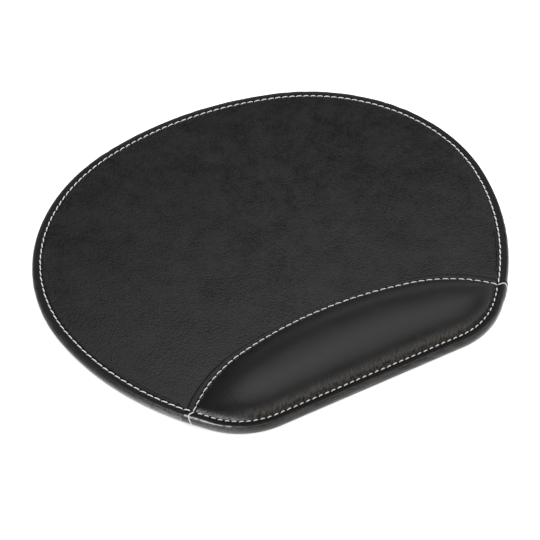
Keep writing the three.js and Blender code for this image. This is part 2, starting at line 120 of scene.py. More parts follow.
class PadSection(bpy.types.PropertyGroup):
    """The section of the leather: its rim, its lap and the grooves of its stitches."""

    leather: metres("Leather", "Thickness of the panel's leather", 0.001)
    cover: metres("Cover", "Thickness of the wrist cover", 0.0008)
    top: metres("Top", "Height of the mousing surface", PANEL_HIGH.z)
    hem_level: metres("Hem Level", "Height of the hem's underside", 0.00105)
    hem_thickness: metres("Hem Thickness", "Thickness of the hem", 0.0008)
    hem_reach: metres("Hem Reach", "Width of the hem", 0.012)
    roll_reach: metres("Roll Reach", "Width of the leather's roll beside the base", 0.0016)
    crease_inset: metres("Crease Inset", "From the pad's edge to the crease on the rim", 0.0012)
    crease_height: metres("Crease Height", "Rise of the crease", 0.0002)
    wall_height: metres("Wall Height", "Where the rim's shoulder starts", 0.0032)
    fold_reach: metres("Fold Reach", "From the seam to the cover's turned edge", 0.0034)
    fold_rise: metres("Fold Rise", "Step from the panel up to the turned edge", 0.0005)
    lap_reach: metres("Lap Reach", "How far the panel runs on under the cover", 0.0018)
    groove_depth: metres("Groove Depth", "Depth of the groove under the stitches", 0.0006)
    groove_half_width: metres("Groove Half Width", "From the stitches to the groove's inner side", 0.0008)
    groove_outer_width: metres("Groove Outer Width", "From the stitches to the groove's outer side", 0.0034)
    wrinkle: metres("Wrinkle", "Height of the wrinkles in the leather round the rim", 0.0002)
    dimple_depth: metres("Dimple Depth", "Extra depth at each needle hole", 0.00015)


class WristRest(bpy.types.PropertyGroup):
    """The crown of the wrist rest."""

    crown: metres("Crown", "Height of the crown over the leather", COVER_HIGH.z - PANEL_HIGH.z - 0.0002)
    crest_share: number("Crest Share", "Place of the crest between the front and the seam", 0.42)
    taper_power: number("Taper Power", "How fast the crown falls toward the sides", 0.85)
    fall_power: number("Fall Power", "How late the crown falls toward the seam", 2.5)
    rear_slope: number("Rear Slope", "Steepest rise over run of the crown beside the seam", 1.16)
    ledge: metres("Ledge", "From a stitch line to the foot of the crown", 0.00062)
    pucker: metres("Pucker", "Height of the puckers over the front stitches", 0.00009)
    foam_inset: metres("Foam Inset", "From the cover's outside to the foam", 0.0011)


class Stitching(bpy.types.PropertyGroup):
    """The thread and its stitches."""

    width: metres("Thread Width", "Width of the flattened thread", 0.00061)
    height: metres("Thread Height", "Height of the flattened thread", 0.00058)
    under_width: metres("Lower Thread Width", "Width of the thread underneath", 0.0007)
    under_height: metres("Lower Thread Height", "Height of the thread underneath", 0.00036)
    rear_pitch: metres("Rear Pitch", "Stitch pitch round the back", 0.0041)
    front_pitch: metres("Front Pitch", "Stitch pitch along the front", 0.0034)
    seam_pitch: metres("Seam Pitch", "Stitch pitch along the seam", 0.0041)
    dash_share: number("Dash Share", "Length of a stitch over its pitch", 0.89)
    front_dash_share: number("Front Dash Share", "The same share along the front", 0.7)
    seam_width: metres("Seam Thread Width", "Width of the seam's thread, drawn in tighter", 0.00052)
    slant: degrees("Slant", "Turn of each stitch against its row", 6)
    row_gap: metres("Row Gap", "From the seam's thread to the first stitch of a row", 0.00155)


class Finish(bpy.types.PropertyGroup):
    """Colours of the materials."""

    panel: colour("Panel Leather", "Colour of the mousing surface", 0.0060, 0.0061, 0.0065)
    panel_light: colour("Panel Mottle", "Lighter colour in its grain", 0.0175, 0.0177, 0.0186)
    cover: colour("Cover Leather", "Colour of the wrist cover", 0.0132, 0.0130, 0.0133)
    cover_light: colour("Cover Mottle", "Lighter colour in its grain", 0.0176, 0.0173, 0.0178)
    # Painted highlight: warm streaks over the front stitches, where the crown's foot mirrors the table.
    streak_highlight: colour("Streak Highlight", "Colour of the streaks over the front stitches", 0.132, 0.117, 0.096)
    # Painted reflection of the table: pale patches on the wall.
    reflecting: colour("Wall Reflection", "Colour of the rubbed patches on the wall", 0.10, 0.095, 0.088)
    # Painted glint: silver on the crown's foot and the wall at the left front.
    painted_glint: colour("Painted Glint", "Silvery colour of the glints", 0.62, 0.625, 0.63)
    # Painted highlight on the crease of the rim.
    highlit: colour("Crease Highlight", "Pale colour of the worn crease on the rim", 0.80, 0.805, 0.81)
    # Painted shade: near black in the grooves beside the stitches.
    groove: colour("Groove", "Dark colour beside the stitches", 0.001, 0.001, 0.001)
    thread: colour("Thread", "Colour of the threads", 0.97, 0.965, 0.945)
    # Painted shade in the hollows between the plies.
    ply_shade: colour("Thread Shade", "Colour between the plies", 0.76, 0.75, 0.72)
    backing: colour("Backing", "Colour of the base", 0.012, 0.012, 0.013)
    board: colour("Board", "Colour of the stiffener board", 0.26, 0.24, 0.19)
    foam: colour("Foam Sheet", "Colour of the foam sheet", 0.045, 0.045, 0.047)
    cushion: colour("Cushion Foam", "Colour of the wrist cushion", 0.69, 0.65, 0.51)


class Studio(bpy.types.PropertyGroup):
    """The camera, the floor and the lamps."""

    look_at: point("Look At", "Point in the middle of the picture", -0.011675, -0.023127, 0.0054)
    distance: metres("Distance", "From the camera to that point", 0.7196)
    azimuth: degrees("Azimuth", "Turn of the camera round the pad", -23.874)
    elevation: degrees("Elevation", "Angle of the camera above the floor", 46.502)
    roll: degrees("Roll", "Turn of the camera about its own axis", -3.72)
    lens: number("Lens", "Focal length in millimetres on a 36 mm sensor", 93.33)
    box_power: number("Box Power", "Power of the overhead box in watts", 4.6)
    box_width: metres("Box Width", "Width of the overhead box", 1.0)
    box_depth: metres("Box Depth", "Depth of the overhead box", 0.985)
    box_place: point("Box Place", "Middle of the overhead box", 0.210, -0.160, 0.6)
    card_top: degrees("Card Top", "Elevation up to which the dark cards reach", 75)
    card_bottom: degrees("Card Bottom", "Elevation at which the dark cards start before the pad", 12)
    card_right: degrees("Card Right", "Elevation at which they start to the right of the pad", 9.5)
    card_left: degrees("Card Left", "Elevation at which they start behind it and to its left", 0.5)
    ambient: number("Ambient", "Strength of the world's light", 0.52)
    floor_colour: colour("Floor", "Colour of the table", 0.90, 0.89, 0.87)
    spill: colour("Warm Spill", "Tint of the table's reflection before the pad", 1.0, 0.88, 0.74)


GROUPS = {
    "pad_plan": PadPlan, "pad_section": PadSection, "wrist_rest": WristRest,
    "stitching": Stitching, "pad_finish": Finish, "pad_studio": Studio,
}


# Plan of the pad

LOOKUP_STEPS = 20001


def walk(straight, arcs, distance):
    """Place and heading after a walk along a straight run and arcs that all bend one way. On an arc of
    radius r, the place moves by r (sin h2 - sin h1) along and r (cos h1 - cos h2) across."""
    along = np.minimum(distance, straight)
    across = np.zeros_like(along)
    heading = np.zeros_like(along)
    left = distance - straight
    for radius, turn in arcs:
        after = heading + np.clip(left / radius, 0, turn)
        along = along + radius * (np.sin(after) - np.sin(heading))
        across = across + radius * (np.cos(heading) - np.cos(after))
        heading = after
        left = left - radius * turn
    return along, across, heading


def smooth(value, low, high):
    """0 below low, 1 above high and 3t^2 - 2t^3 between them."""
    share = np.clip((value - low) / (high - low), 0, 1)
    return share * share * (3 - 2 * share)


def bell(value, width, power=2):
    """1 at 0, falling on both sides as exp(-(v / w)^p)."""
    return np.exp(-((value / width) ** power))


def blend(low, high, share):
    """The value between two others."""
    return low + (high - low) * share


def xyz(x, y, z):
    """Points from their coordinates, as one array."""
    return np.stack(np.broadcast_arrays(x, y, z), -1)


class Plan:
    """The stitch line and the seam, with points on and beside them as whole arrays."""

    def __init__(self, pad):
        self.margin = pad.stitch_margin
        self.length = pad.length
        self.straight, self.arcs = self.outline(pad)
        self.half = self.straight + sum(radius * turn for radius, turn in self.arcs)
        self.whole = 2 * self.half
        reach = pad.width / 2 - pad.rest_side_margin
        table = np.linspace(0, self.half / 2, LOOKUP_STEPS)
        self.crossing = float(np.interp(reach, self.stitch_line(table)[0], table))
        end_x, end_y = self.stitch_line(np.array([self.crossing]))[:2]
        self.apex = pad.rest_depth - pad.length / 2
        self.seam_arcs = self.seam_chain(pad, float(end_x[0]), self.apex - float(end_y[0]))
        self.half_seam = sum(radius * turn for radius, turn in self.seam_arcs)

    def outline(self, pad):
        """Straight run and arcs of the right half, drawn in to the stitch line. The width and the length
        set the two radii between the named ones, and the straight run closes the outline on its axis."""
        flank_start = pad.corner_turn
        flank_end = flank_start + pad.flank_turn
        rear_start = flank_end + pad.shoulder_turn
        rear_sine = math.sin(rear_start)
        shoulder = (pad.width / 2 - pad.rear_radius * rear_sine) / (1 - rear_sine)
        corner_length = pad.corner_radius * (1 - math.cos(flank_start))
        shoulder_length = shoulder * (math.cos(flank_end) - math.cos(rear_start))
        rear_length = pad.rear_radius * (1 + math.cos(rear_start))
        flank_length = pad.length - corner_length - shoulder_length - rear_length
        flank = flank_length / (math.cos(flank_start) - math.cos(flank_end))
        straight = pad.rear_radius * rear_sine - shoulder * (rear_sine - math.sin(flank_end))
        straight -= flank * (math.sin(flank_end) - math.sin(flank_start))
        straight -= pad.corner_radius * math.sin(flank_start)
        radii = pad.corner_radius, flank, shoulder, pad.rear_radius
        turns = pad.corner_turn, pad.flank_turn, pad.shoulder_turn, math.pi - rear_start
        return straight, [(radius - self.margin, turn) for radius, turn in zip(radii, turns)]

    def seam_chain(self, pad, reach, drop):
        """The right half of the seam: a wide arc in the middle and a tighter one down to the crossing.
        Their turns are shares of the chord's angle, and their radii solve the reach and the drop."""
        chord = math.atan2(drop, reach)
        middle_turn = chord * pad.seam_middle_share
        whole_turn = chord * pad.seam_end_share
        end_reach = math.sin(whole_turn) - math.sin(middle_turn)
        end_drop = math.cos(middle_turn) - math.cos(whole_turn)
        middle_drop = 1 - math.cos(middle_turn)
        scale = math.sin(middle_turn) * end_drop - end_reach * middle_drop
        middle = (reach * end_drop - drop * end_reach) / scale
        end = (drop * math.sin(middle_turn) - reach * middle_drop) / scale
        return ((middle, middle_turn), (end, whole_turn - middle_turn))

    def edge(self, distance, inset):
        """Point (x, y) at an inset from the pad's edge, with the outward direction. The distance runs on
        the stitch line from the middle of the front, toward +X first."""
        wrapped = np.mod(distance, self.whole)
        side = np.where(wrapped > self.half, -1.0, 1.0)
        walked = np.where(side < 0, self.whole - wrapped, wrapped)
        along, across, heading = walk(self.straight, self.arcs, walked)
        out_x = side * np.sin(heading)
        out_y = -np.cos(heading)
        reach = self.margin - inset
        x = side * along + out_x * reach
        y = self.margin - self.length / 2 + across + out_y * reach
        return x, y, out_x, out_y

    def stitch_line(self, distance):
        """The same on the stitch line."""
        return self.edge(distance, self.margin)

    def seam(self, distance, shift=0.0):
        """Point (x, y) of the seam moved back by a shift, with the direction of the shift. The distance
        runs from the middle toward +X."""
        side = np.where(distance < 0, -1.0, 1.0)
        along, across, heading = walk(0.0, self.seam_arcs, np.abs(distance))
        out_x = side * np.sin(heading)
        out_y = np.cos(heading)
        return side * along + out_x * shift, self.apex - across + out_y * shift, out_x, out_y

    def edge_points(self, distance, inset, height):
        """Points (x, y, z) at an inset from the edge and at a height."""
        return xyz(*self.edge(distance, inset)[:2], height)

    def seam_points(self, distance, shift, height):
        """Points (x, y, z) beside the seam and at a height."""
        return xyz(*self.seam(distance, shift)[:2], height)

    def seam_at(self, x):
        """Distance along the seam at which it passes each x."""
        table = np.linspace(-self.half_seam, self.half_seam, LOOKUP_STEPS)
        return np.interp(x, self.seam(table)[0], table)

    def past_crossing(self, distance):
        """How far a place on the stitch line lies past the crossing on its side, toward the rear."""
        wrapped = np.mod(distance, self.whole)
        return np.minimum(wrapped, self.whole - wrapped) - self.crossing


# Uneven surfaces

def waves(distance, wavelength, seed, count=9):
    """Sum of sine waves of about one wavelength, each with its own phase, scaled to about -1 to 1."""
    draw = np.random.default_rng(seed)
    lengths = wavelength * np.exp(draw.uniform(-0.45, 0.45, count))
    phases = draw.uniform(0, FULL_TURN, count)
    angles = FULL_TURN * np.asarray(distance)[..., None] / lengths + phases
    return np.sin(angles).sum(-1) / math.sqrt(count)


def field(x, y, wavelength, seed, count=14):
    """Sum of plane waves in all directions over the plan, scaled to about -1 to 1."""
    draw = np.random.default_rng(seed)
    lengths = wavelength * np.exp(draw.uniform(-0.5, 0.5, count))
    turns = draw.uniform(0, math.pi, count)
    phases = draw.uniform(0, FULL_TURN, count)
    total = np.zeros(np.broadcast(x, y).shape)
    for length, turn, phase in zip(lengths, turns, phases):
        total += np.sin(FULL_TURN * (x * math.cos(turn) + y * math.sin(turn)) / length + phase)
    return total / math.sqrt(count)


def wrinkles(distance, reach, seed, count=5):
    """Bulges between narrow valleys that cross the section at a shallow angle, between 0 and about 1.
    They are the rounded absolute value of a sum of waves, each long along the rim and short across."""
    draw = np.random.default_rng(seed)
    long = draw.uniform(0.014, 0.030, count) * draw.choice([-1, 1], count)
    short = draw.uniform(0.0065, 0.012, count)
    phases = draw.uniform(0, FULL_TURN, count)
    angles = FULL_TURN * (distance[:, None, None] / long + reach[None, :, None] / short) + phases
    return np.sqrt(0.02 + np.sin(angles).sum(-1) ** 2 / count)


def well(away, half_width):
    """Section of a pressed groove: 1 in the middle and 1 / (1 + (a / w)^6) at a distance a."""
    return 1 / (1 + (away / half_width) ** 6)


def ramp(away, width):
    """Section of a one-sided groove: 1 in the middle, falling to 0 at its width as (1 - a / w)^0.9."""
    return np.clip(1 - np.abs(away) / width, 0, 1) ** 0.9


# Meshes

def grid_normals(points):
    """Unit normals of a grid of points: the cross product of its two differences."""
    normal = np.cross(np.gradient(points, axis=0), np.gradient(points, axis=1))
    length = np.linalg.norm(normal, axis=2, keepdims=True)
    return normal / np.maximum(length, 1e-12)


def grid_faces(columns, rows, looped):
    """Quads between neighbouring columns and rows. Looped rows close on themselves."""
    column = np.arange(columns - 1)[:, None] * rows
    row = np.arange(rows if looped else rows - 1)[None, :]
    after = (row + 1) % rows
    corners = column + row, column + rows + row, column + rows + after, column + after
    return np.stack(np.broadcast_arrays(*corners), -1).reshape(-1, 4)


def signed_volume(points, faces):
    """Volume inside the quads, from the two triangles of each."""
    corner = points[faces]
    first = np.cross(corner[:, 1], corner[:, 2])
    second = np.cross(corner[:, 2], corner[:, 3])
    return float(np.sum(corner[:, 0] * first) + np.sum(corner[:, 0] * second)) / 6


def add_layers(mesh, layers):
    """Float attributes, each from an array with one value for every point."""
    for key, values in layers.items():
        layer = mesh.attributes.new(key, "FLOAT", "POINT")
        layer.data.foreach_set("value", np.ascontiguousarray(values, np.float32).ravel())


def shell(name, points, material, layers):
    """A closed skin from columns of looped rows, with a flat face over each end. Its doubled points are
    merged, so that columns may meet in one point."""
    columns, rows = points.shape[:2]
    flat = points.reshape(-1, 3)
    faces = grid_faces(columns, rows, True)
    ends = [list(range(rows)), list(range((columns - 1) * rows, columns * rows))[::-1]]
    if signed_volume(flat, faces) < 0:
        faces = faces[:, ::-1]
        ends = [end[::-1] for end in ends]
    mesh = bpy.data.meshes.new(name)
    mesh.from_pydata(flat.tolist(), [], faces.tolist() + ends)
    add_layers(mesh, layers)
    body = bmesh.new()
    body.from_mesh(mesh)
    bmesh.ops.remove_doubles(body, verts=body.verts, dist=WELD * 10)
    bmesh.ops.dissolve_degenerate(body, edges=body.edges, dist=WELD)
    body.to_mesh(mesh)
    body.free()
    return place(name, mesh, material)


def add_object(name, data):
    """A new object in the scene."""
    made = bpy.data.objects.new(name, data)
    bpy.context.scene.collection.objects.link(made)
    return made


def place(name, mesh, material):
    """An object for a finished mesh, with smooth faces, on the root body."""
    mesh.shade_smooth()
    mesh.materials.append(material)
    piece = add_object(name, mesh)
    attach(piece, "root")
    return piece


# Section of the leather

LIP_SHARE = 0.66
ROLL_TOP = 0.8
UNDER_ROWS = 9
SHOULDER_POWER = 1.25
CREASE_WIDTH = 0.00042
HOLE_REACH = 0.00055
HOLE_ROOM = 0.0005
BULGE_AWAY = 0.0016
BULGE_WIDTH = 0.0006
BULGE_HEIGHT = 0.00005
PIT_DEPTH = 0.00001
CREASE_SPREAD = 0.45
CREASE_MASK_WIDTH = 0.00045
TOP_FADE = 0.0004
GROWTH_FADE = 0.010


def rim_section(section, margin):
    """Insets and heights of the outer skin from the hem's inner edge, round the roll and up the wall, to
    the stitch line. The roll is two ellipse quarters, the first of which ends the rows underneath, and
    the shoulder is a superellipse quarter that ends at the crease."""
    quarter = np.linspace(0, QUARTER_TURN, 7)
    angle = np.linspace(0, QUARTER_TURN, 16)
    lip = section.roll_reach * LIP_SHARE
    foot = PANEL_LOW.z
    band = np.linspace(section.crease_inset, margin, 10)[1:]
    insets = (
        [section.hem_reach, section.hem_reach / 2],
        section.roll_reach - (section.roll_reach - lip) * np.sin(quarter),
        lip * (1 - np.sin(quarter[1:])),
        section.crease_inset * (1 - np.cos(angle) ** SHOULDER_POWER),
        band)
    heights = (
        [section.hem_level, section.hem_level],
        section.hem_level - (section.hem_level - foot) * (1 - np.cos(quarter)),
        foot + (section.wall_height * ROLL_TOP - foot) * (1 - np.cos(quarter[1:])),
        blend(section.wall_height, section.top, np.sin(angle) ** SHOULDER_POWER),
        np.full(len(band), section.top))
    return np.concatenate(insets), np.concatenate(heights)


def section_normal(insets, heights):
    """Inward and upward parts of the section's outward unit normal."""
    inward, upward = -np.gradient(heights), np.gradient(insets)
    length = np.maximum(np.hypot(inward, upward), 1e-9)
    return inward / length, upward / length


def section_run(insets, heights):
    """Distance along the section up to each of its points."""
    return np.concatenate(([0], np.cumsum(np.hypot(np.diff(insets), np.diff(heights)))))


def crease_rise(section, insets):
    """Rise of the crease: a bell round its inset."""
    return section.crease_height * bell(insets - section.crease_inset, CREASE_WIDTH)


class Row:
    """A run of stitches between two places, at the pitch that fits a whole number of them."""

    def __init__(self, low, high, pitch, dash_share):
        count = max(1, round((high - low) / pitch))
        self.low, self.high = low, high
        self.pitch = (high - low) / count
        self.dash = self.pitch * dash_share
        self.centres = low + (np.arange(count) + 0.5) * self.pitch

    def holes(self, distance):
        """1 at each needle hole and a bell round it."""
        away = np.mod(distance - self.low + self.pitch / 2, self.pitch) - self.pitch / 2
        return bell(away, HOLE_REACH)


def sewn_rows(plan, stitching):
    """The row round the back, the row along the front and the seam."""
    front_end = plan.crossing - stitching.row_gap
    rear_start = plan.crossing + stitching.row_gap
    return (
        Row(rear_start, plan.whole - rear_start, stitching.rear_pitch, stitching.dash_share),
        Row(-front_end, front_end, stitching.front_pitch, stitching.front_dash_share),
        Row(-plan.half_seam, plan.half_seam, stitching.seam_pitch, stitching.dash_share))


def cover_growth(plan, section, distance):
    """How far the cover's skin stands out: by the fold's rise at the crossing, and less beside it."""
    away = np.abs(plan.past_crossing(distance))
    return section.fold_rise * (1 - smooth(away, section.fold_reach, section.fold_reach + GROWTH_FADE))


def rim_skin(plan, section, distance, insets, heights, growth, holes, folds):
    """Points of the rim for every column and row. Each row follows the outline at its inset, moved out
    by the growth along the section's own normal, with the crease, the groove of the stitches and the
    unevenness of worked leather."""
    inward, upward = section_normal(insets, heights)
    turned = (insets < section.roll_reach) | (heights > section.wall_height)
    lift = smooth(heights, section.hem_level, section.wall_height) * turned
    out = growth[:, None] * lift + wall_unevenness(section, distance, insets, heights, folds)
    away = insets[None, :] - plan.margin
    top = smooth(heights, section.wall_height, section.top - TOP_FADE)
    crease = crease_rise(section, insets) * (1 + CREASE_SPREAD * waves(distance, 0.021, seed=5)[:, None])
    depth = section.groove_depth + section.dimple_depth * holes[:, None]
    height = heights + out * upward + top * (crease - depth * ramp(away, section.groove_outer_width))
    return plan.edge_points(distance[:, None], insets + out * inward, height + top * bulge(away, holes))


def bulge(away, holes):
    """The leather beside the groove, pushed up a little between the holes and drawn down at them."""
    return BULGE_HEIGHT * bell(np.abs(away) - BULGE_AWAY, BULGE_WIDTH) * (1 - 1.6 * holes[:, None])


def wall_unevenness(section, distance, insets, heights, folds):
    """Creases and shallow pits of the leather pulled round the rim. The creases start outside the
    crease of the rim, and folds says how strong they are at each distance."""
    reach = section_run(insets, heights)
    rim = smooth(heights, section.hem_level, section.wall_height * ROLL_TOP)
    band = rim * (1 - smooth(insets, section.crease_inset + 0.0004, section.crease_inset + 0.0014))
    counter = distance[:, None] - 0.6 * reach
    pits = waves(counter, 0.0029, seed=13, count=12)
    pits = pits * waves(counter + 3 * reach, 0.0047, seed=14)
    creased = wrinkles(distance, reach, seed=11) - 0.5
    return band * (section.wrinkle * folds[:, None] * creased + PIT_DEPTH * pits)


def mask_layers(section, insets, heights, groove_shade, distance, highlit):
    """The float attributes that the leather reads, for every point of a skin: the crease, as far as its
    painted highlight reaches at each distance, the shoulder and wall below it, the grooves that take a
    painted shade, and the distance itself. The painted highlight on the crease comes and goes
    along the rim."""
    crease, wall = np.zeros(groove_shade.shape), np.zeros(groove_shade.shape)
    bright = bell(insets - section.crease_inset + 0.0001, CREASE_MASK_WIDTH)
    bright = bright * (heights > section.wall_height)
    broken = 0.65 + 0.35 * waves(distance, 0.006, seed=16)
    crease[:, :len(insets)] = bright * np.clip(highlit * broken, 0, 1)[:, None]
    outside = 1 - smooth(insets, section.crease_inset - 0.0002, section.crease_inset + 0.0004)
    wall[:, :len(insets)] = outside * smooth(heights, section.hem_level - 0.0006, section.hem_level)
    along = np.broadcast_to(distance[:, None], groove_shade.shape)
    return {"crease": crease, "wall": wall, "groove_shade": groove_shade, "along": along}


def inner_rim_rows(plan, section, distance):
    """The leather's inner side round the rim, from the top down to the hem's upper side."""
    skin = section.leather
    reach = 0.002
    angle = np.linspace(QUARTER_TURN, 0, 5)
    hem_top = section.hem_level + section.hem_thickness
    insets = np.concatenate((skin + reach * (1 - np.cos(angle)), [skin, section.hem_reach]))
    heights = np.concatenate((section.top - skin - reach * (1 - np.sin(angle)), [hem_top, hem_top]))
    return plan.edge_points(distance[:, None], insets, heights)


# Panel

BEYOND_STITCHES = np.array([0.2, 0.4, 0.65, 0.9, 1.15, 1.5, 2.0]) * 1e-3
PANEL_SEAM_SHIFTS = np.array([6.0, 5.0, 4.5, 4.25, 4.1, 4.0, 3.9, 3.8, 3.75, 3.72, 2.0, 0.0, -1.8]) * 1e-3
LAP_COLUMNS = np.array([-1.8, -1.0, 0, 1, 2, 3, 3.5, 3.72, 3.8, 3.95, 4.15, 4.4, 4.8, 5.4]) * 1e-3
LAP_GAP = 0.0003
LAP_STEP = 0.00025
ROW_FADE = 0.001
PANEL_COLUMNS = 860
FLAT_ROWS = 38
PANEL_WAVE = 0.00005


def fold_share(plan, seam):
    """Share of the fold's reach beside the seam: whole at the crossings and less in the middle."""
    return blend(0.6, 1.0, smooth(np.abs(seam) / plan.half_seam, 0.15, 0.98))[:, None]


def panel_columns(plan):
    """Distances of the panel's columns, closer together in the lap, how far each lies past the crossing,
    and the seam distance of each."""
    start = plan.crossing + LAP_COLUMNS[-1]
    run = plan.whole - 2 * start
    middle = np.linspace(0, run, PANEL_COLUMNS)[1:-1] + start
    distance = np.concatenate((plan.crossing + LAP_COLUMNS, middle,
                               plan.whole - plan.crossing - LAP_COLUMNS[::-1]))
    share = np.clip((distance - start) / run, 0, 1)
    return distance, plan.past_crossing(distance), plan.half_seam * (1 - 2 * share)


def end_line(plan, side, shift):
    """The seam's end line: the stitch line beyond the crossing, at a shift from the crossing."""
    return plan.stitch_line(side * (plan.crossing + shift))[:2]


def strip_point(plan, seam, shift):
    """A point beside the seam. The direction of the shift turns to the end line near a crossing."""
    x, y, out_x, out_y = plan.seam(seam)
    side = np.where(seam < 0, -1.0, 1.0)
    end_x, end_y = end_line(plan, side, shift)
    cross_x, cross_y = end_line(plan, side, 0.0)
    near = 1 - smooth(plan.half_seam - np.abs(seam), 0, 0.009)
    step_x = blend(out_x * shift, end_x - cross_x, near)
    step_y = blend(out_y * shift, end_y - cross_y, near)
    return x + step_x, y + step_y


def build_panel(plan, section, row, material):
    """The mousing panel as one closed skin: hem, roll, wall, crease and stitch groove, then the flat
    from the rim to the seam, the thinned lap under the cover, and the inner side back to the hem."""
    distance, past, seam = panel_columns(plan)
    insets, heights = rim_section(section, plan.margin)
    lap_start = section.fold_reach + LAP_GAP
    growth = -section.fold_rise * (1 - smooth(past, lap_start, lap_start + LAP_STEP))
    in_row = smooth(past, section.fold_reach, section.fold_reach + ROW_FADE)
    holes = row.holes(distance) * in_row
    folds = 0.15 + 0.5 * smooth(waves(distance, 0.07, seed=12), -0.2, 0.9)
    rim = rim_skin(plan, section, distance, insets, heights, growth, holes, folds)

    # The room between the stitch line and the first seam row limits how far the rows beyond it lie.
    narrowed = np.where(PANEL_SEAM_SHIFTS > 0, fold_share(plan, seam), 1.0)
    shifts = np.minimum(PANEL_SEAM_SHIFTS * narrowed, past[:, None])
    seam_x, seam_y = strip_point(plan, seam[:, None], shifts)
    line_x, line_y = (value[:, None] for value in plan.stitch_line(distance)[:2])
    room = np.hypot(seam_x[:, :1] - line_x, seam_y[:, :1] - line_y)
    beyond = BEYOND_STITCHES * np.minimum(1, room / (2.2 * BEYOND_STITCHES[-1]))
    level = section.top + growth[:, None]
    depth = section.groove_depth + section.dimple_depth * holes[:, None]
    half = section.groove_half_width
    inner = plan.edge_points(distance[:, None], plan.margin + beyond,
                             level - depth * well(beyond, half) + bulge(beyond, holes))

    # The flat runs straight from the rim to the seam.
    share = np.linspace(0, 1, FLAT_ROWS)[1:-1]
    flat_x = blend(inner[:, -1:, 0], seam_x[:, :1], share)
    flat_y = blend(inner[:, -1:, 1], seam_y[:, :1], share)
    away = share * room
    slow = PANEL_WAVE * field(flat_x, flat_y, 0.030, seed=21) * smooth(away, 0, 0.02)
    flat = xyz(flat_x, flat_y, level - depth * well(away, half) + slow)

    # Down the edge of the thinned lap.
    drop = section.fold_rise * (1 - smooth(PANEL_SEAM_SHIFTS, lap_start, lap_start + LAP_STEP))
    row_away = np.where(past[:, None] > shifts, room + (PANEL_SEAM_SHIFTS[0] - shifts), 0)
    seam_z = section.top - np.maximum(drop, -growth[:, None]) - depth * well(row_away, half)
    lap = xyz(seam_x, seam_y, seam_z)

    # The inner side, back to the hem.
    back = np.array([0.0, 0.5, 0.95])
    under = xyz(blend(seam_x[:, -1:], line_x, back), blend(seam_y[:, -1:], line_y, back),
                section.top - section.leather)
    inner_rim = inner_rim_rows(plan, section, distance)
    points = np.concatenate((rim, inner, flat, lap, under, inner_rim), 1)

    grooved = well(np.concatenate((beyond, away, row_away), 1), half)
    first = len(insets)
    # Painted shade: the grooves beside the stitches and the rim's band outside them turn near black.
    groove_shade = np.zeros(points.shape[:2])
    groove_shade[:, :first] = well(insets - plan.margin, section.groove_outer_width * 0.85)
    groove_shade[:, first:first + grooved.shape[1]] = grooved
    left_end = bell(past, 0.03) * (np.mod(distance, plan.whole) > plan.half)
    # Painted highlight on the crease, strongest near the left end.
    layers = mask_layers(section, insets, heights, groove_shade * in_row[:, None], distance, 0.2 + 0.3 * left_end)
    # Painted glint on the wall near the left end.
    layers["glint_mask"] = layers["wall"] * 0.3 * left_end[:, None]
    return shell("panel_leather", points, material, layers)


# Wrist rest

COVER_COLUMNS = 430
CROWN_POWER = 2.15
LEDGE_ROOM = 2.6
REAR_WAVE = 0.00006
BODY_WAVE = 0.00012
LEDGE_SHARES = np.array([0.22, 0.45, 0.7])
STRIP_SHIFTS = np.array([0.0, 0.2, 0.4, 0.65, 0.9, 1.2, 1.6, 2.1, 2.6]) * 1e-3
STRIP_LEAN = 0.00012
FOLDS_AT, FOLDS_WIDTH = 0.020, 0.036
HIGHLIT_AT, HIGHLIT_WIDTH = -0.087, 0.017
GLINT_AT, GLINT_WIDTH = -0.080, 0.015
FOOT_HEIGHT, FOOT_RUN = 0.0062, 0.0042
PUCKER_HEIGHT = 0.0042
TAIL_GROOVE_DEPTH, TAIL_GROOVE_WIDTH = 0.0003, 0.0006


def crown_profile(rest, share, fall):
    """Height of the crown as a share: a slightly squared ellipse quarter from the front to the crest,
    then a power curve down to the seam."""
    rising = 1 - np.minimum(share / rest.crest_share, 1)
    ahead = np.maximum(0, 1 - rising ** CROWN_POWER) ** (1 / CROWN_POWER)
    behind = np.maximum(0, (share - rest.crest_share) / (1 - rest.crest_share))
    return np.where(share < rest.crest_share, ahead, 1 - behind ** fall)


def crown_steps(rest, front_steps, rear_steps):
    """Places across the crown, closer together where the front is steep and near the seam."""
    front = rest.crest_share * (1 - np.cos(np.linspace(0, QUARTER_TURN, front_steps)))
    rear = blend(rest.crest_share, 1, np.sin(np.linspace(0, QUARTER_TURN, rear_steps)))[1:]
    return np.concatenate((front, rear))


def crown_surface(plan, section, rest, distance, seam, share, inset=0.0):
    """The crowned form between the two stitch lines, drawn in by the ledge and an inset. Its height is
    the profile times the crown, and falls with the width there to a power. The power of the rear fall
    is limited so that the slope square to the seam, power x rise / run, stays under the rear slope."""
    drawn = rest.ledge + inset
    line_x, line_y = plan.stitch_line(distance)[:2]
    back_x, back_y, _, square = plan.seam(seam)
    room = np.hypot(back_x - line_x, back_y - line_y)
    squeeze = np.minimum(1, room / (LEDGE_ROOM * drawn))
    front_x, front_y = plan.edge(distance, plan.margin + drawn * squeeze)[:2]
    rear_x, rear_y = plan.seam(seam, -drawn * squeeze)[:2]
    span = np.hypot(rear_x - front_x, rear_y - front_y)
    fullness = np.minimum(1, span / (room.max() - 2 * drawn)) ** rest.taper_power
    rise = (rest.crown - inset) * fullness * smooth(room, 0, LEDGE_ROOM * drawn)
    run = (1 - rest.crest_share) * span * square
    fall = np.clip(rest.rear_slope * run / np.maximum(rise, WELD), 1.0, rest.fall_power)
    base = blend(section.top, section.top + section.fold_rise, share) - inset * 0.5
    x = blend(front_x[:, None], rear_x[:, None], share)
    y = blend(front_y[:, None], rear_y[:, None], share)
    z = base + rise[:, None] * crown_profile(rest, share, fall[:, None])
    return xyz(x, y, z), room, squeeze


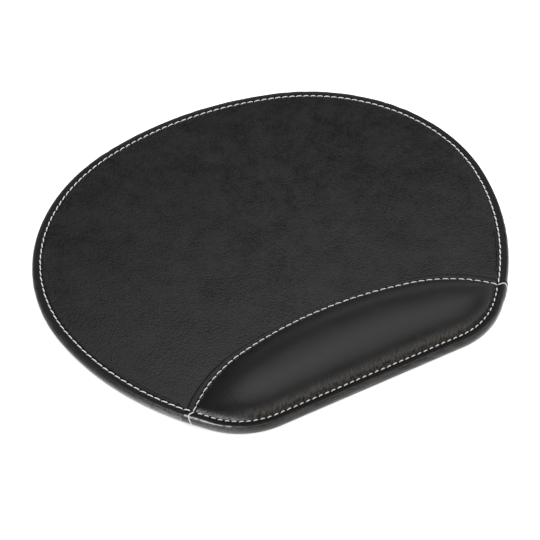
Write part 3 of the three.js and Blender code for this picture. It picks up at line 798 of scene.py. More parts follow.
def cover_columns(plan, section):
    """Distances of the cover's columns: the front, the fold's width beyond each crossing, and the
    rounding of the turned edge. With them go their seam distances, how far they lie past a crossing, and
    the drop of each in the rounding."""
    main = np.linspace(-plan.crossing, plan.crossing, COVER_COLUMNS)
    level = np.zeros(len(main))
    radius = section.cover / 2
    flat = np.linspace(0, section.fold_reach - radius, 8)[1:]
    angle = np.linspace(0, QUARTER_TURN, 6)[1:]
    past = np.concatenate((flat, section.fold_reach - radius * (1 - np.sin(angle))))
    drop = np.concatenate((np.zeros(len(flat)), radius * (1 - np.cos(angle))))
    distance = np.concatenate((-plan.crossing - past[::-1], main, plan.crossing + past))
    middle = plan.seam_at(plan.stitch_line(main)[0])
    middle[0], middle[-1] = -plan.half_seam, plan.half_seam
    ends = np.full(len(past), plan.half_seam)
    seam = np.concatenate((-ends, middle, ends))
    pasts, drops = (np.concatenate((value[::-1], level, value)) for value in (past, drop))
    return distance, seam, pasts[:, None], drops[:, None]


def build_cover(plan, section, rest, row, seam_row, material):
    """The wrist cover as one closed skin: hem, roll and wall, the stitch groove, the crown, the seam's
    groove, the strip behind it with its turned edge, and the inner side back to the hem."""
    distance, seam, pasts, drops = cover_columns(plan, section)
    insets, heights = rim_section(section, plan.margin)
    growth = cover_growth(plan, section, distance) - drops[:, 0]
    holes = row.holes(distance) * (np.abs(distance) < row.high + HOLE_ROOM)
    folds = 0.3 + 0.3 * smooth(waves(distance, 0.06, seed=15), -0.1, 0.9)
    folds = folds + 1.1 * bell(distance - FOLDS_AT, FOLDS_WIDTH)
    rim = rim_skin(plan, section, distance, insets, heights, growth, holes, folds)
    rim[:, :, 2] -= tail_groove(plan, section, distance, heights)
    level = rim[:, -1:, 2]
    half = section.groove_half_width
    beyond = pasts > 0

    # From the stitch line to the foot of the crown, and from its rear foot to the seam.
    steps = crown_steps(rest, 30, 34)
    crown, room, squeeze = crown_surface(plan, section, rest, distance, seam, steps)
    room = np.where(beyond, 0, room[:, None])
    ledge = rest.ledge * squeeze[:, None] * LEDGE_SHARES
    rear = ledge[:, ::-1]
    depth = section.groove_depth + section.dimple_depth * holes[:, None]
    front = plan.edge_points(distance[:, None], plan.margin + ledge,
                             section.top + growth[:, None] - depth * well(ledge, half))
    fold_top = section.top + section.fold_rise
    seam_depth = section.groove_depth + section.dimple_depth * seam_row.holes(seam)[:, None]
    behind = plan.seam_points(seam[:, None], -rear, fold_top - seam_depth * well(rear, half))

    # The columns beyond a crossing meet on the stitch line in all these rows.
    side = np.where(distance < 0, -1.0, 1.0)[:, None]
    corner_x, corner_y = end_line(plan, side, pasts)
    meeting = xyz(corner_x, corner_y, level)
    middle = np.where(beyond[:, :, None], meeting, np.concatenate((front, crown, behind), 1))
    middle[:, :, 2] = blend(level, middle[:, :, 2], smooth(room, 0, 0.004))
    first, last = len(insets), len(insets) + middle.shape[1]
    crown_rows = slice(len(LEDGE_SHARES), len(LEDGE_SHARES) + len(steps))
    middle = work_crown(rest, middle, distance, steps, crown_rows, room)

    # The strip behind the seam and its turned edge.
    radius = section.cover / 2
    turn = np.linspace(0, math.pi, 10)
    share = fold_share(plan, seam)
    edge_shifts = section.fold_reach * share - radius * (1 - np.sin(turn))
    under_shifts = np.array([0.0, -section.lap_reach]) + 0 * share
    shifts = np.concatenate((STRIP_SHIFTS * share, edge_shifts, under_shifts), 1)
    fall = np.concatenate((
        np.zeros(len(STRIP_SHIFTS)), radius * (1 - np.cos(turn)), np.full(2, section.cover)))
    x, y = strip_point(plan, seam[:, None], np.maximum(shifts, pasts))
    end_away = np.where(beyond, 0, plan.half_seam - np.abs(seam)[:, None])
    pressed = np.maximum(seam_depth * well(shifts, half), section.groove_depth * well(end_away, half))
    pressed = pressed + np.maximum(drops - fall, 0)
    lean = STRIP_LEAN * smooth(shifts, 0.0, section.fold_reach)
    strip = xyz(x, y, fold_top - lean - fall - np.where(fall < radius, pressed, 0))

    # The inner side.
    lining = fold_top - section.cover
    inner_steps = crown_steps(rest, 7, 6)[::-1]
    hollow = crown_surface(plan, section, rest, distance, seam, inner_steps, section.cover)[0]
    hollow[:, :, :2] = np.where(beyond[:, :, None], meeting, hollow)[:, :, :2]
    hollow[:, :, 2] = np.where(beyond, lining, hollow[:, :, 2])
    hollow[:, :, 2] = np.minimum(
        hollow[:, :, 2], blend(lining, hollow[:, :, 2], smooth(room, 0, 0.008)))
    inner_rim = inner_rim_rows(plan, section, distance)
    points = np.concatenate((rim, middle, strip, hollow, inner_rim), 1)

    # What the leather reads.
    groove_shade, pucker = np.zeros(points.shape[:2]), np.zeros(points.shape[:2])
    # Painted shade: the grooves beside the stitches and the seam turn near black.
    groove_shade[:, :first] = well(insets - plan.margin, section.groove_outer_width * 0.6)
    groove_shade[:, first:first + ledge.shape[1]] = well(ledge, half * 0.6)
    groove_shade[:, last - ledge.shape[1]:last] = well(rear, half * 0.8)
    groove_shade[:, last:last + strip.shape[1]] = np.where(
        fall < radius, np.maximum(well(shifts, half), well(end_away, half)), 0)
    # Painted highlight on the crease, strongest at the left front corner.
    highlit = 0.2 + 1.9 * bell(distance - HIGHLIT_AT, HIGHLIT_WIDTH, 4)
    layers = mask_layers(section, insets, heights, groove_shade, distance, highlit)
    # Painted glint: silver on the crown's foot and, faintly, on the wall at the left front corner.
    painted_glint = bell(distance - GLINT_AT, GLINT_WIDTH, 4)[:, None]
    foot = crown_foot(rest, middle[:, crown_rows], steps)
    on_crown = slice(crown_rows.start + first, crown_rows.stop + first)
    # The puckers also carry painted streaks of highlight over the front stitches.
    pucker[:, on_crown] = foot ** 1.4 * (1 - smooth(distance, 0.045, 0.075))[:, None] * (1 - painted_glint)
    layers["pucker"] = pucker
    layers["glint_mask"] = layers["wall"] * painted_glint * 0.13
    layers["glint_mask"][:, on_crown] = foot ** 12 * painted_glint
    return shell("wrist_cover_leather", points, material, layers)


def crown_foot(rest, points, share):
    """1 at the front foot of the crown, fading up its slope and with the run from the stitches."""
    run = np.linalg.norm(points[:, :, :2] - points[:, :1, :2], axis=2)
    height = np.maximum(0, points[:, :, 2] - PANEL_HIGH.z)
    return bell(height, FOOT_HEIGHT) * bell(run, FOOT_RUN) * (share < rest.crest_share)


def tail_groove(plan, section, distance, heights):
    """Depth of the groove that the seam's thread presses into the rim at each crossing."""
    on_rim = smooth(heights, section.wall_height * ROLL_TOP, section.top - 0.0005)
    return TAIL_GROOVE_DEPTH * well(plan.past_crossing(distance), TAIL_GROOVE_WIDTH)[:, None] * on_rim


def work_crown(rest, middle, distance, steps, crown_rows, room):
    """Works the crown along its normals: broad waves, puckers that rise from the front stitches and
    fade up the slope, and softer ones along the seam."""
    normals = grid_normals(middle)
    normals = np.where(normals[:, :, 2:] < 0, -normals, normals)
    share = np.zeros(middle.shape[1])
    share[crown_rows] = steps
    share[crown_rows.stop:] = 1
    x, y = middle[:, :, 0], middle[:, :, 1]
    height = middle[:, :, 2] - PANEL_HIGH.z
    slope = np.exp(-height / PUCKER_HEIGHT) * (share < rest.crest_share) * smooth(share, 0, 0.01)
    fine = waves(distance[:, None] + 0.25 * height, 0.0024, seed=31, count=12)
    coarse = waves(distance[:, None] + 0.45 * height, 0.0075, seed=32)
    front = slope * (fine + 0.9 * coarse) * rest.pucker
    rear_share = smooth(share, 0.8, 0.97) * (1 - smooth(share, 0.99, 1.0))
    rear = rear_share * waves(x + 0.3 * y, 0.0082, seed=33) * REAR_WAVE
    body = np.sin(np.pi * np.clip(share, 0, 1)) * field(x, y, 0.034, seed=34) * BODY_WAVE
    amount = (front + rear + body) * smooth(room, 0.004, 0.014)
    return middle + normals * amount[:, :, None]


def build_foam(plan, section, rest, material):
    """The cushion under the cover: the crown's own form drawn in, on a flat bottom."""
    distance = np.linspace(-plan.crossing, plan.crossing, 121)[1:-1]
    seam = plan.seam_at(plan.stitch_line(distance)[0])
    steps = crown_steps(rest, 16, 16)
    top = crown_surface(plan, section, rest, distance, seam, steps, rest.foam_inset)[0]
    bottom = top[:, ::-1].copy()[:, ::4]
    bottom[:, :, 2] = CUSHION_LOW.z
    return shell("wrist_foam", np.concatenate((top, bottom), 1), material, {})


# Threads

RING_SHARES = np.array([-0.5, -0.44, -0.30, -0.10, 0.10, 0.30, 0.44, 0.5])
RING_ANGLES = np.linspace(-QUARTER_TURN, FULL_TURN - QUARTER_TURN, 8, endpoint=False)
LENGTH_SPREAD, SLANT_SPREAD, ASIDE_SPREAD = 0.04, 0.035, 0.00004
ARCH_RISE, ARCH_FALL, END_SHRINK = 0.55, 1.15, 0.72
TAIL_CLEARANCE = 0.00005
TAIL_BEND = 0.001
TAIL_TWIST = 2.2
LOWER_LEVEL = 0.0004


def stitches(name, path, row, width, height, slant_angle, seed, material):
    """Separate stitches along a row, all worked out at once. A stitch is a flattened tube that arches
    from hole to hole: its centre falls with the fourth power of the way to its ends, its size shrinks
    there, and it lies turned a little against the row."""
    draw = np.random.default_rng(seed)
    count = len(row.centres)
    length = row.dash * (1 + draw.uniform(-LENGTH_SPREAD, LENGTH_SPREAD, count))
    slant = slant_angle + draw.normal(0, SLANT_SPREAD, count)
    aside = draw.normal(0, ASIDE_SPREAD, count)
    way = RING_SHARES * length[:, None]
    distance = row.centres[:, None] + way
    centre, across, up = path(distance)
    lateral = aside[:, None] - np.sin(slant)[:, None] * way
    end = np.abs(2 * RING_SHARES) ** 4
    level = height * ARCH_RISE - end * height * ARCH_FALL
    size = np.sqrt(np.maximum(0.05, 1 - END_SHRINK * end))[:, None]
    wide = width / 2 * size * np.cos(RING_ANGLES)
    tall = height / 2 * size * np.sin(RING_ANGLES)
    sideways = (lateral[:, :, None] + wide)[..., None] * across[:, :, None, :]
    upward = (level[:, None] + tall)[None, ..., None] * up[:, :, None, :]
    return tubes(name, centre[:, :, None, :] + sideways + upward, distance / row.dash, material)


def tubes(name, points, twist, material):
    """Closed tubes from an array of tube, ring and side, with the twist of each ring. Each end is closed
    by a fan round a point."""
    count, rings, sides = points.shape[:3]
    every = np.concatenate((points.reshape(count, rings * sides, 3), points[:, [0, -1]].mean(2)), 1)
    each = every.shape[1]
    ring = np.arange(rings - 1)[:, None] * sides
    side = np.arange(sides)
    after = (side + 1) % sides
    last = (rings - 1) * sides
    walls = np.stack((ring + side, ring + after, ring + sides + after, ring + sides + side), -1)
    start = np.stack((np.full(sides, each - 2), after, side), -1)
    finish = np.stack((np.full(sides, each - 1), last + side, last + after), -1)
    shift = np.arange(count)[:, None, None] * each
    quads = (walls.reshape(1, -1, 4) + shift).reshape(-1, 4)
    fans = (np.concatenate((start, finish))[None] + shift).reshape(-1, 3)
    flat = every.reshape(-1, 3)
    if signed_volume(flat, quads) < 0:
        quads, fans = quads[:, ::-1], fans[:, ::-1]
    mesh = bpy.data.meshes.new(name)
    mesh.from_pydata(flat.tolist(), [], quads.tolist() + fans.tolist())
    layers = {"along": twist[..., None], "around": RING_ANGLES / FULL_TURN + 0.25}
    for key, value in layers.items():
        whole = np.broadcast_to(value, points.shape[:3])
        layers[key] = np.concatenate((whole.reshape(count, -1), whole[:, [0, -1], 0]), 1)
    add_layers(mesh, layers)
    return place(name, mesh, material)


def flat_path(point_at, level_at, upward=1.0):
    """A path on a level face, at one level or at one for each distance."""
    def path(distance):
        """Places, the unit direction across, and the unit direction away from the face."""
        x, y, out_x, out_y = point_at(distance)
        level = level_at(distance) if callable(level_at) else level_at
        return xyz(x, y, level), xyz(out_x, out_y, 0.0), xyz(0 * x, 0.0, upward)
    return path


def tail_path(plan, section, side):
    """Where the seam's thread leaves the crossing: over the band and the crease and down the wall, with
    a slight sideways bend. The path is the rim's own section at the crossing, smoothed."""
    insets, heights = rim_section(section, plan.margin)
    inward, upward = section_normal(insets, heights)
    raised = heights + crease_rise(section, insets) * (insets > section.crease_inset * 0.3)
    keep = (heights > section.wall_height * 0.5) & (np.arange(len(insets)) >= UNDER_ROWS)
    out = section.fold_rise + TAIL_CLEARANCE
    insets = (insets + out * inward)[keep][::-1]
    heights = (raised + out * upward)[keep][::-1]
    run = section_run(insets, heights)
    share = np.linspace(0, 1, 40)
    inset = np.interp(share * run[-1], run, insets)
    height = np.interp(share * run[-1], run, heights)
    height = height - (section.groove_depth + TAIL_CLEARANCE) * (1 - smooth(share, 0.0, 0.3))
    average = np.ones(5) / 5
    inset[2:-2] = np.convolve(inset, average, "valid")
    height[2:-2] = np.convolve(height, average, "valid")
    bend = TAIL_BEND * np.sin(FULL_TURN * share * 0.75)
    return plan.edge_points(side * (plan.crossing + bend), inset, height)


def tube_along(points, width, height):
    """Rings round a line of points, square to it. The side direction is level."""
    along = np.gradient(points, axis=0)
    along /= np.linalg.norm(along, axis=1, keepdims=True)
    across = np.cross(along, np.array([0.0, 0.0, 1.0]))
    across /= np.maximum(np.linalg.norm(across, axis=1, keepdims=True), 1e-9)
    up = np.cross(across, along)
    size = np.sqrt(np.maximum(0.06, 1 - np.linspace(-1, 1, len(points)) ** 12))[:, None, None]
    wide = (width / 2 * np.cos(RING_ANGLES))[:, None] * across[:, None, :]
    tall = (height / 2 * np.sin(RING_ANGLES))[:, None] * up[:, None, :]
    return points[:, None, :] + size * (wide + tall)


def build_tails(plan, section, stitching, material):
    """Both tails of the seam's thread, as one piece."""
    points = np.stack([
        tube_along(tail_path(plan, section, side), stitching.seam_width, stitching.height)
        for side in (-1.0, 1.0)])
    twist = np.broadcast_to(np.linspace(0, TAIL_TWIST, points.shape[1]), points.shape[:2])
    return tubes("seam_thread_tails", points, twist, material)


# Materials

WHITE = (1, 1, 1, 1)
BLACK = (0, 0, 0, 1)
COAT_ROUGHNESS = 0.22
STREAKS_ALONG, STREAKS_UP, STREAK_RELIEF = 1000.0, 300.0, 0.00014
GLINT_SCALE = 1300.0
PLIES, PLY_RELIEF, FUZZ_SCALE = 4.0, 0.00006, 9000.0
RIB_PITCH, RIB_RELIEF, NAP_SCALE = 0.0009, 0.00012, 2600.0


class Value:
    """An output of a node. A sum, difference or product with it makes a Math node."""

    def __init__(self, socket):
        self.socket = socket
        self.tree = socket.id_data

    def calculate(self, operation, other=0.0):
        """The result of any Math node."""
        return output(self.tree, "ShaderNodeMath", 0, {0: self, 1: other}, operation=operation)

    def __add__(self, other):
        return self.calculate("ADD", other)

    def __sub__(self, other):
        return self.calculate("SUBTRACT", other)

    def __mul__(self, other):
        return self.calculate("MULTIPLY", other)


def feed(target, source):
    """Links an input to a value, or sets it."""
    if isinstance(source, Value):
        source.tree.links.new(source.socket, target)
    else:
        target.default_value = source


def add_node(tree, kind, inputs=None, **settings):
    """A new node, with its settings made and its inputs fed."""
    made = tree.nodes.new(kind)
    for key, setting in settings.items():
        setattr(made, key, setting)
    for key, source in (inputs or {}).items():
        feed(made.inputs[key], source)
    return made


def output(tree, kind, outlet, inputs=None, **settings):
    """One output of a new node."""
    return Value(add_node(tree, kind, inputs, **settings).outputs[outlet])


def remap(value, low, high, to_low=0.0, to_high=1.0):
    """A value moved from one range to another and kept inside it."""
    inputs = {"Value": value, "From Min": low, "From Max": high, "To Min": to_low, "To Max": to_high}
    return output(value.tree, "ShaderNodeMapRange", "Result", inputs, clamp=True)


def mix_colour(share, first, second):
    """A colour between two others. The Mix node's colour sockets follow those of its other types."""
    return output(share.tree, "ShaderNodeMix", 2, {0: share, 6: first, 7: second}, data_type="RGBA")


def noise(vector, scale, detail=3.0, roughness=0.5, outlet="Fac"):
    """A Noise Texture's value or colour."""
    inputs = {"Vector": vector, "Scale": scale, "Detail": detail, "Roughness": roughness}
    return output(vector.tree, "ShaderNodeTexNoise", outlet, inputs)


def bump(height, distance, before=None):
    """A Bump node's normal, on top of the one before it."""
    inputs = {"Height": height, "Distance": distance, "Strength": 1.0}
    if before:
        inputs["Normal"] = before
    return output(height.tree, "ShaderNodeBump", "Normal", inputs)


def object_vector(tree):
    """Object coordinates."""
    return output(tree, "ShaderNodeTexCoord", "Object")


def object_axes(tree):
    """X, Y and Z of the object coordinates."""
    split = add_node(tree, "ShaderNodeSeparateXYZ", {0: object_vector(tree)})
    return [Value(socket) for socket in split.outputs]


def attributes(tree, *names):
    """The values of a mesh's own attributes."""
    return [output(tree, "ShaderNodeAttribute", "Fac", attribute_name=name) for name in names]


def fill(shader, **values):
    """Feeds a shader's inputs, named with _ in place of each space."""
    for key, value in values.items():
        feed(shader.inputs[key.replace("_", " ")], value)


def blank_material(name, base_colour, roughness, **fixed):
    """A material with a Principled BSDF whose plain values are set on its own sockets."""
    material = bpy.data.materials.new(name)
    material.use_nodes = True
    material.diffuse_color = base_colour
    shader = material.node_tree.nodes["Principled BSDF"]
    fill(shader, Base_Color=base_colour, Roughness=roughness, **fixed)
    return material, material.node_tree, shader


def darker(colour, share):
    """An opaque colour, darkened to a share."""
    return (*(channel * share for channel in colour[:3]), 1.0)


def inverse(value):
    """1 over a value."""
    return output(value.tree, "ShaderNodeMath", 0, {0: 1.0, 1: value}, operation="DIVIDE")


def leather_grain():
    """The one group for all leather. Pebbled grain: rounded cells with fine pores, a mottle of cells
    that differ and a slow drift. A quarter of the mottle is the cells' own height, so that the cracks
    between them are painted darker, a slight painted shade."""
    known = bpy.data.node_groups.get("Leather Grain")
    if known:
        return known
    tree = bpy.data.node_groups.new("Leather Grain", "ShaderNodeTree")
    tree.interface.new_socket(name="Vector", in_out="INPUT", socket_type="NodeSocketVector")
    for key, default in (("Cell Size", 0.0007), ("Drift Size", 0.012)):
        socket = tree.interface.new_socket(name=key, in_out="INPUT", socket_type="NodeSocketFloat")
        socket.default_value = default
    for key in ("Height", "Mottle", "Drift"):
        tree.interface.new_socket(name=key, in_out="OUTPUT", socket_type="NodeSocketFloat")
    vector, cell, drift = (Value(socket) for socket in add_node(tree, "NodeGroupInput").outputs[:3])
    scale = inverse(cell)
    bent = noise(vector, scale * 0.6, 1.0, outlet="Color")
    offset = output(tree, "ShaderNodeVectorMath", 0, {0: bent, "Scale": cell * 0.8}, operation="SCALE")
    moved = output(tree, "ShaderNodeVectorMath", 0, {0: vector, 1: offset}, operation="ADD")
    cells = output(tree, "ShaderNodeTexVoronoi", "Distance",
                   {"Vector": moved, "Scale": scale, "Smoothness": 0.6}, feature="SMOOTH_F1")
    pebble = remap(cells, 0.0, 0.75, 1.0, 0.0)
    pores = noise(vector, scale * 2.6, 2.0)
    patch = noise(vector, scale * 0.33, 3.0, 0.6)
    # The mottle takes a quarter of the pebble's height: painted shade in the cracks between the cells.
    add_node(tree, "NodeGroupOutput", {
        "Height": pebble + pores * 0.35, "Mottle": patch * 0.75 + pebble * 0.25,
        "Drift": noise(vector, inverse(drift), 3.0, 0.55)})
    return tree


def leather_material(finish, name, dark, light, cell, drift, rough, relief, specular):
    """Leather: grain that lifts the light, a mottle between two near colours, and a polish that follows
    the slow drift and the wear. Light and shade are painted into its colour: a pale painted reflection of
    the table in patches on the wall, painted streaks of highlight over the front stitches, a silver
    painted glint, a white painted highlight on the crease, and near black painted shade in the grooves."""
    material, tree, shader = blank_material(
        name, dark, rough[0], Specular_IOR_Level=specular, Coat_Roughness=COAT_ROUGHNESS)
    spot = object_vector(tree)
    grain = add_node(tree, "ShaderNodeGroup", node_tree=leather_grain())
    fill(grain, Vector=spot, Cell_Size=cell, Drift_Size=drift)
    mottle = Value(grain.outputs["Mottle"])
    share = remap(mottle, 0.3, 0.7)
    slow = remap(Value(grain.outputs["Drift"]), 0.35, 0.65)
    patches = remap(mottle, 0.3, 0.7, 0.4, 1.0)
    crease, wall, groove_shade, pucker, glint_mask, along = attributes(
        tree, "crease", "wall", "groove_shade", "pucker", "glint_mask", "along")
    streaked = output(tree, "ShaderNodeCombineXYZ", 0,
                      {0: along * STREAKS_ALONG, 1: object_axes(tree)[2] * STREAKS_UP})
    # Painted highlight: warm streaks over the front stitches.
    streak = remap(noise(streaked, 1.1, 4.0, 0.65), 0.40, 0.62) * pucker
    # Painted glint: silver specks.
    silver = remap(noise(spot, GLINT_SCALE, 2.0, 0.6), 0.34, 0.56) * glint_mask
    tone = mix_colour(share * 0.62 + slow * 0.38, dark, light)
    # Painted reflection of the table: pale patches on the wall.
    tone = mix_colour(wall * (patches * 0.33), tone, finish.reflecting)
    tone = mix_colour(streak * 0.8, tone, finish.streak_highlight)
    tone = mix_colour(silver * 0.9, tone, finish.painted_glint)
    # Painted highlight: the crease turns pale.
    tone = mix_colour(crease.calculate("POWER", 3.2) * patches, tone, finish.highlit)
    polish = remap(slow * 0.5 + share * 0.5, 0.0, 1.0, *rough)
    # Painted shade: near black in the grooves.
    fill(shader, Base_Color=mix_colour(groove_shade * 0.85, tone, finish.groove),
         Roughness=polish + groove_shade * 0.3 - (crease * 0.14 + wall * 0.16),
         Coat_Weight=wall * 0.35 + pucker * 0.30,
         Normal=bump(streak, STREAK_RELIEF, bump(Value(grain.outputs["Height"]), relief)))
    return material


def thread_material(finish):
    """The one material for all thread. Twisted thread: slanted plies, darker between them as painted
    shade, with fuzz. The plies read the thread's own attributes, so that they follow every stitch."""
    known = bpy.data.materials.get("Thread")
    if known:
        return known
    material, tree, shader = blank_material(
        "Thread", finish.thread, 0.7, Sheen_Weight=0.25, Sheen_Roughness=0.5, Specular_IOR_Level=0.3)
    along, around = attributes(tree, "along", "around")
    wave = ((along * PLIES + around) * FULL_TURN).calculate("SINE")
    ply = remap(wave, -1.0, 0.6)
    fuzz = noise(object_vector(tree), FUZZ_SCALE, 2.0)
    # Painted shade: darker between the plies, where their bump is low.
    shade = ply * remap(fuzz, 0.2, 0.7, 0.7, 1.0)
    fill(shader, Base_Color=mix_colour(shade, finish.ply_shade, finish.thread),
         Normal=bump(ply, PLY_RELIEF))
    return material


def fibre_material(name, colour, roughness, scale, relief):
    """Napped or foamed stock: fine noise in the relief, and painted shade where that relief is low."""
    material, tree, shader = blank_material(name, colour, roughness, Specular_IOR_Level=0.25)
    fine = noise(object_vector(tree), scale, 4.0, 0.6)
    # Painted shade: darker where the relief is low.
    fill(shader, Base_Color=mix_colour(remap(fine, 0.3, 0.7), darker(colour, 0.72), colour),
         Normal=bump(fine, relief))
    return material


def backing_material(colour):
    """Non-slip backing: a fine knit of crossed ribs with a slight nap, with painted shade in its valleys.
    """
    material, tree, shader = blank_material("Backing", colour, 0.88, Specular_IOR_Level=0.25)
    first, second = ((axis * (FULL_TURN / RIB_PITCH)).calculate("SINE") for axis in object_axes(tree)[:2])
    height = remap(first * second, -1.0, 1.0) + noise(object_vector(tree), NAP_SCALE) * 0.6
    # Painted shade: darker in the valleys between the ribs.
    fill(shader, Base_Color=mix_colour(remap(height, 0.2, 1.4), darker(colour, 0.6), colour),
         Normal=bump(height, RIB_RELIEF))
    return material


def dress_node(name, material):
    """Gives a CAD node a better material in its own slots."""
    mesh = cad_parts[name].data
    if not mesh.materials:
        mesh.materials.append(material)
    for index in range(len(mesh.materials)):
        mesh.materials[index] = material


# Stage

SENSOR_WIDTH = 36.0
NEAR_CLIP, FAR_CLIP = 0.05, 60.0
TABLE_HALF = 20.0
TABLE_LEVEL = -0.00002
CARD_RADIUS = 3.0
CARD_COLOUR = (0.03, 0.032, 0.035, 1)
BOX_COLOUR = (0.98, 0.98, 1.0)


def set_camera(studio):
    """The camera at the photographed angle, turned a little about its own axis."""
    turn, lift, roll = studio.azimuth, studio.elevation, studio.roll
    back = Vector((math.sin(turn) * math.cos(lift), -math.cos(turn) * math.cos(lift), math.sin(lift)))
    level = Vector((math.cos(turn), math.sin(turn), 0))
    upright = back.cross(level)
    right = level * math.cos(roll) + upright * math.sin(roll)
    up = upright * math.cos(roll) - level * math.sin(roll)
    data = bpy.data.cameras.new("Camera")
    data.lens = studio.lens
    data.sensor_width = SENSOR_WIDTH
    data.clip_start, data.clip_end = NEAR_CLIP, FAR_CLIP
    camera = add_object("Camera", data)
    turned = Matrix((right, up, back)).transposed().to_4x4()
    camera.matrix_world = Matrix.Translation(Vector(studio.look_at) + back * studio.distance) @ turned
    bpy.context.scene.camera = camera


def stage_mesh(name, points, faces, material):
    """A mesh of the stage, which isn't a piece of the pad."""
    mesh = bpy.data.meshes.new(name)
    mesh.from_pydata(points.reshape(-1, 3).tolist(), [], faces)
    mesh.materials.append(material)
    made = add_object(name, mesh)
    return made


def rays(tree):
    """Camera, glossy and transmission rays."""
    path = add_node(tree, "ShaderNodeLightPath")
    kinds = "Is Camera Ray", "Is Glossy Ray", "Is Transmission Ray"
    return [Value(path.outputs[kind]) for kind in kinds]


def set_floor(studio):
    """A white table that keeps the pad's shadow and clips to white beside it. Leather mirrors it most
    brightly before the pad, less at both sides and hardly behind it. Farther before the pad, what the
    leather mirrors is warmer."""
    material, tree, shader = blank_material("Table", studio.floor_colour, 0.9, Specular_IOR_Level=0.1)
    seen, glossy, through = rays(tree)
    mirrored = glossy.calculate("MAXIMUM", through)
    x, y, _ = object_axes(tree)
    behind = remap(y, 0.02, 0.11, 1.0, 0.05)
    beside = remap(x, 0.08, 0.122, 1.0, 0.14)
    ahead = remap(y, -0.118, -0.104, 0.5, 1.0)
    left = remap(x, -0.130, -0.105, 0.25, 1.0)
    # For glossy and transmission rays the table glows, brightest just before the pad, dimmer toward its
    # sides and behind it, and warm farther ahead: a painted reflection for the leather to mirror.
    lit = mirrored * (behind * (beside * left) * ahead)
    before = remap(y, -0.2, -0.1, 1.0, 0.0) * mirrored
    fill(shader, Base_Color=mix_colour(mirrored - lit, studio.floor_colour, BLACK),
         Emission_Strength=seen * 0.62 + lit, Emission_Color=mix_colour(before, WHITE, studio.spill))
    ends = np.array([-TABLE_HALF, TABLE_HALF])
    stage_mesh("table", xyz(ends[:, None], ends[None, :], TABLE_LEVEL), [(0, 2, 3, 1)], material)


def set_surround(studio):
    """A dark band of cards all round, seen only in the gloss of the leather. It is a part of a sphere
    between two elevations. It starts lowest behind the pad and to its left, and highest before it."""
    material = bpy.data.materials.new("Dark Card")
    material.use_nodes = True
    tree = material.node_tree
    tree.nodes.remove(tree.nodes["Principled BSDF"])
    glow = add_node(tree, "ShaderNodeEmission", {"Color": CARD_COLOUR})
    tree.links.new(glow.outputs[0], tree.nodes["Material Output"].inputs["Surface"])
    turn = np.linspace(0, FULL_TURN, 49)[:, None]
    right = smooth(np.cos(turn), 0.08, 0.26)
    before = smooth(-np.sin(turn), 0.5, 0.8)
    low = blend(blend(studio.card_left, studio.card_right, right), studio.card_bottom, before)
    lift = blend(low, studio.card_top, np.linspace(0, 1, 9))
    points = CARD_RADIUS * xyz(np.cos(lift) * np.cos(turn), np.cos(lift) * np.sin(turn), np.sin(lift))
    cards = stage_mesh("dark_cards", points, grid_faces(*lift.shape, False).tolist(), material)
    cards.visible_camera = False
    cards.visible_diffuse = False
    cards.visible_shadow = False
    cards.visible_transmission = False


def set_lamp(studio):
    """One large soft box overhead."""
    data = bpy.data.lights.new("Soft Box", "AREA")
    data.shape = "RECTANGLE"
    data.size = studio.box_width
    data.size_y = studio.box_depth
    data.energy = studio.box_power
    data.color = BOX_COLOUR
    lamp = add_object("Soft Box", data)
    lamp.location = studio.box_place
    lamp.rotation_euler = (0, 0, studio.azimuth)


def set_world(studio):
    """White where the background shows, and a plain soft light elsewhere."""
    world = bpy.data.worlds.new("Studio")
    world.use_nodes = True
    seen, glossy, through = rays(world.node_tree)
    share = seen.calculate("MAXIMUM", glossy).calculate("MAXIMUM", through)
    fill(world.node_tree.nodes["Background"], Color=WHITE,
         Strength=share * (1 - studio.ambient) + studio.ambient)
    bpy.context.scene.world = world


# Operators

def pad_parts(context):
    """The plan worked out from the scene's sizes, the sizes themselves and the three rows of stitches."""
    scene = context.scene
    plan = Plan(scene.pad_plan)
    return plan, scene.pad_section, scene.wrist_rest, sewn_rows(plan, scene.stitching)


class PAD_OT_core(bpy.types.Operator):
    """Dress the base, the board, the foam sheet and the seam's lower thread"""

    bl_idname = "pad.core"
    bl_label = "Core and Base"

    def execute(self, context):
        finish = context.scene.pad_finish
        board = fibre_material("Grey Board", finish.board, roughness=0.9, scale=900.0, relief=0.00008)
        foam = fibre_material("Foam Sheet", finish.foam, roughness=0.95, scale=1500.0, relief=0.0001)
        dress_node("non_slip_base", backing_material(finish.backing))
        dress_node("stiffener_board", board)
        dress_node("foam_sheet", foam)
        dress_node("seam_bobbin_thread", thread_material(finish))
        return {"FINISHED"}


class PAD_OT_panel(bpy.types.Operator):
    """Build the leather panel with its rim, hem and stitch groove"""

    bl_idname = "pad.panel"
    bl_label = "Mousing Panel"

    def execute(self, context):
        plan, section, _, (rear, _, _) = pad_parts(context)
        finish = context.scene.pad_finish
        material = leather_material(
            finish, "Panel Leather", finish.panel, finish.panel_light,
            cell=0.0011, drift=0.014, rough=(0.34, 0.48), relief=0.0001, specular=0.44)
        piece = build_panel(plan, section, rear, material)
        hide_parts("mousing_panel")
        return {"FINISHED"}


class PAD_OT_cover(bpy.types.Operator):
    """Build the leather cover of the wrist rest, from its hem to its turned edge"""

    bl_idname = "pad.cover"
    bl_label = "Wrist Cover"

    def execute(self, context):
        plan, section, rest, (_, front, seam) = pad_parts(context)
        finish = context.scene.pad_finish
        material = leather_material(
            finish, "Cover Leather", finish.cover, finish.cover_light,
            cell=0.0007, drift=0.010, rough=(0.38, 0.45), relief=0.00003, specular=0.30)
        piece = build_cover(plan, section, rest, front, seam, material)
        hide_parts("wrist_cover")
        return {"FINISHED"}


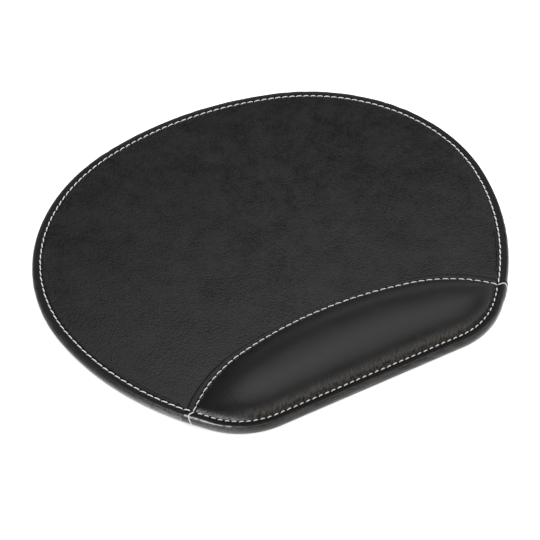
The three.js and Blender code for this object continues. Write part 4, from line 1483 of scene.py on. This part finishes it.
class PAD_OT_foam(bpy.types.Operator):
    """Build the foam cushion under the cover"""

    bl_idname = "pad.foam"
    bl_label = "Wrist Foam"

    def execute(self, context):
        plan, section, rest, _ = pad_parts(context)
        material = fibre_material("Cushion Foam", context.scene.pad_finish.cushion,
                                  roughness=0.95, scale=1100.0, relief=0.0002)
        piece = build_foam(plan, section, rest, material)
        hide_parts("wrist_cushion")
        return {"FINISHED"}


class PAD_OT_threads(bpy.types.Operator):
    """Sew the edge row, the front row and the seam"""

    bl_idname = "pad.threads"
    bl_label = "Threads"

    def execute(self, context):
        plan, section, _, (rear, front, seam) = pad_parts(context)
        stitching = context.scene.stitching
        thread = thread_material(context.scene.pad_finish)
        floor = section.top - section.groove_depth

        def rear_level(distance):
            """From the fold's height down to the panel, within half a stitch."""
            away = plan.past_crossing(distance) - section.fold_reach
            return floor + section.fold_rise * (1 - smooth(away, 0.0, rear.pitch / 2))

        def front_level(distance):
            """As high as the cover stands there."""
            return floor + cover_growth(plan, section, distance)

        upper = (stitching.width, stitching.height, stitching.slant)
        tighter = (stitching.seam_width, stitching.height, stitching.slant)
        lower = (stitching.under_width, stitching.under_height, -stitching.slant)
        rear_path = flat_path(plan.stitch_line, rear_level)
        front_path = flat_path(plan.stitch_line, front_level)
        seam_path = flat_path(plan.seam, floor + section.fold_rise)
        under_path = flat_path(plan.stitch_line, LOWER_LEVEL, -1.0)
        sewn = (
            ("edge_stitches_rear", rear_path, rear, upper, "edge_thread_rear"),
            ("edge_stitches_front", front_path, front, upper, "edge_thread_front"),
            ("seam_stitches", seam_path, seam, tighter, "seam_thread"),
            ("edge_lower_rear", under_path, rear, lower, "edge_bobbin_rear"),
            ("edge_lower_front", under_path, front, lower, "edge_bobbin_front"),
        )
        for seed, (name, path, row, size, replaced) in enumerate(sewn, 41):
            piece = stitches(name, path, row, *size, seed, thread)
            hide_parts(replaced)
        build_tails(plan, section, stitching, thread)
        return {"FINISHED"}


class PAD_OT_studio(bpy.types.Operator):
    """Set the camera, the white table, the dark surround and the overhead box"""

    bl_idname = "pad.studio"
    bl_label = "Studio"

    def execute(self, context):
        for step in (set_camera, set_floor, set_surround, set_lamp, set_world):
            step(context.scene.pad_studio)
        context.scene.view_settings.view_transform = "Standard"
        return {"FINISHED"}


STEPS = (PAD_OT_core, PAD_OT_panel, PAD_OT_foam, PAD_OT_cover, PAD_OT_threads, PAD_OT_studio)


class PAD_PT_sidebar(bpy.types.Panel):
    """The pad's steps and sizes in the sidebar"""

    bl_idname = "PAD_PT_sidebar"
    bl_label = "Mouse Pad"
    bl_space_type = "VIEW_3D"
    bl_region_type = "UI"
    bl_category = "Mouse Pad"

    def draw(self, context):
        for step in STEPS:
            self.layout.operator(step.bl_idname)
        for key, group in GROUPS.items():
            box = self.layout.box()
            box.label(text=group.__name__)
            for name in group.__annotations__:
                box.prop(getattr(context.scene, key), name)


CLASSES = (*GROUPS.values(), *STEPS, PAD_PT_sidebar)


def register():
    for item in CLASSES:
        bpy.utils.register_class(item)
    for key, group in GROUPS.items():
        setattr(bpy.types.Scene, key, PointerProperty(type=group))


def unregister():
    for key in reversed(GROUPS):
        delattr(bpy.types.Scene, key)
    for item in reversed(CLASSES):
        bpy.utils.unregister_class(item)


def main():
    register()
    bpy.ops.pad.core()
    bpy.ops.pad.panel()
    bpy.ops.pad.foam()
    bpy.ops.pad.cover()
    bpy.ops.pad.threads()
    bpy.ops.pad.studio()
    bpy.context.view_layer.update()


if __name__ == "__main__":
    main()
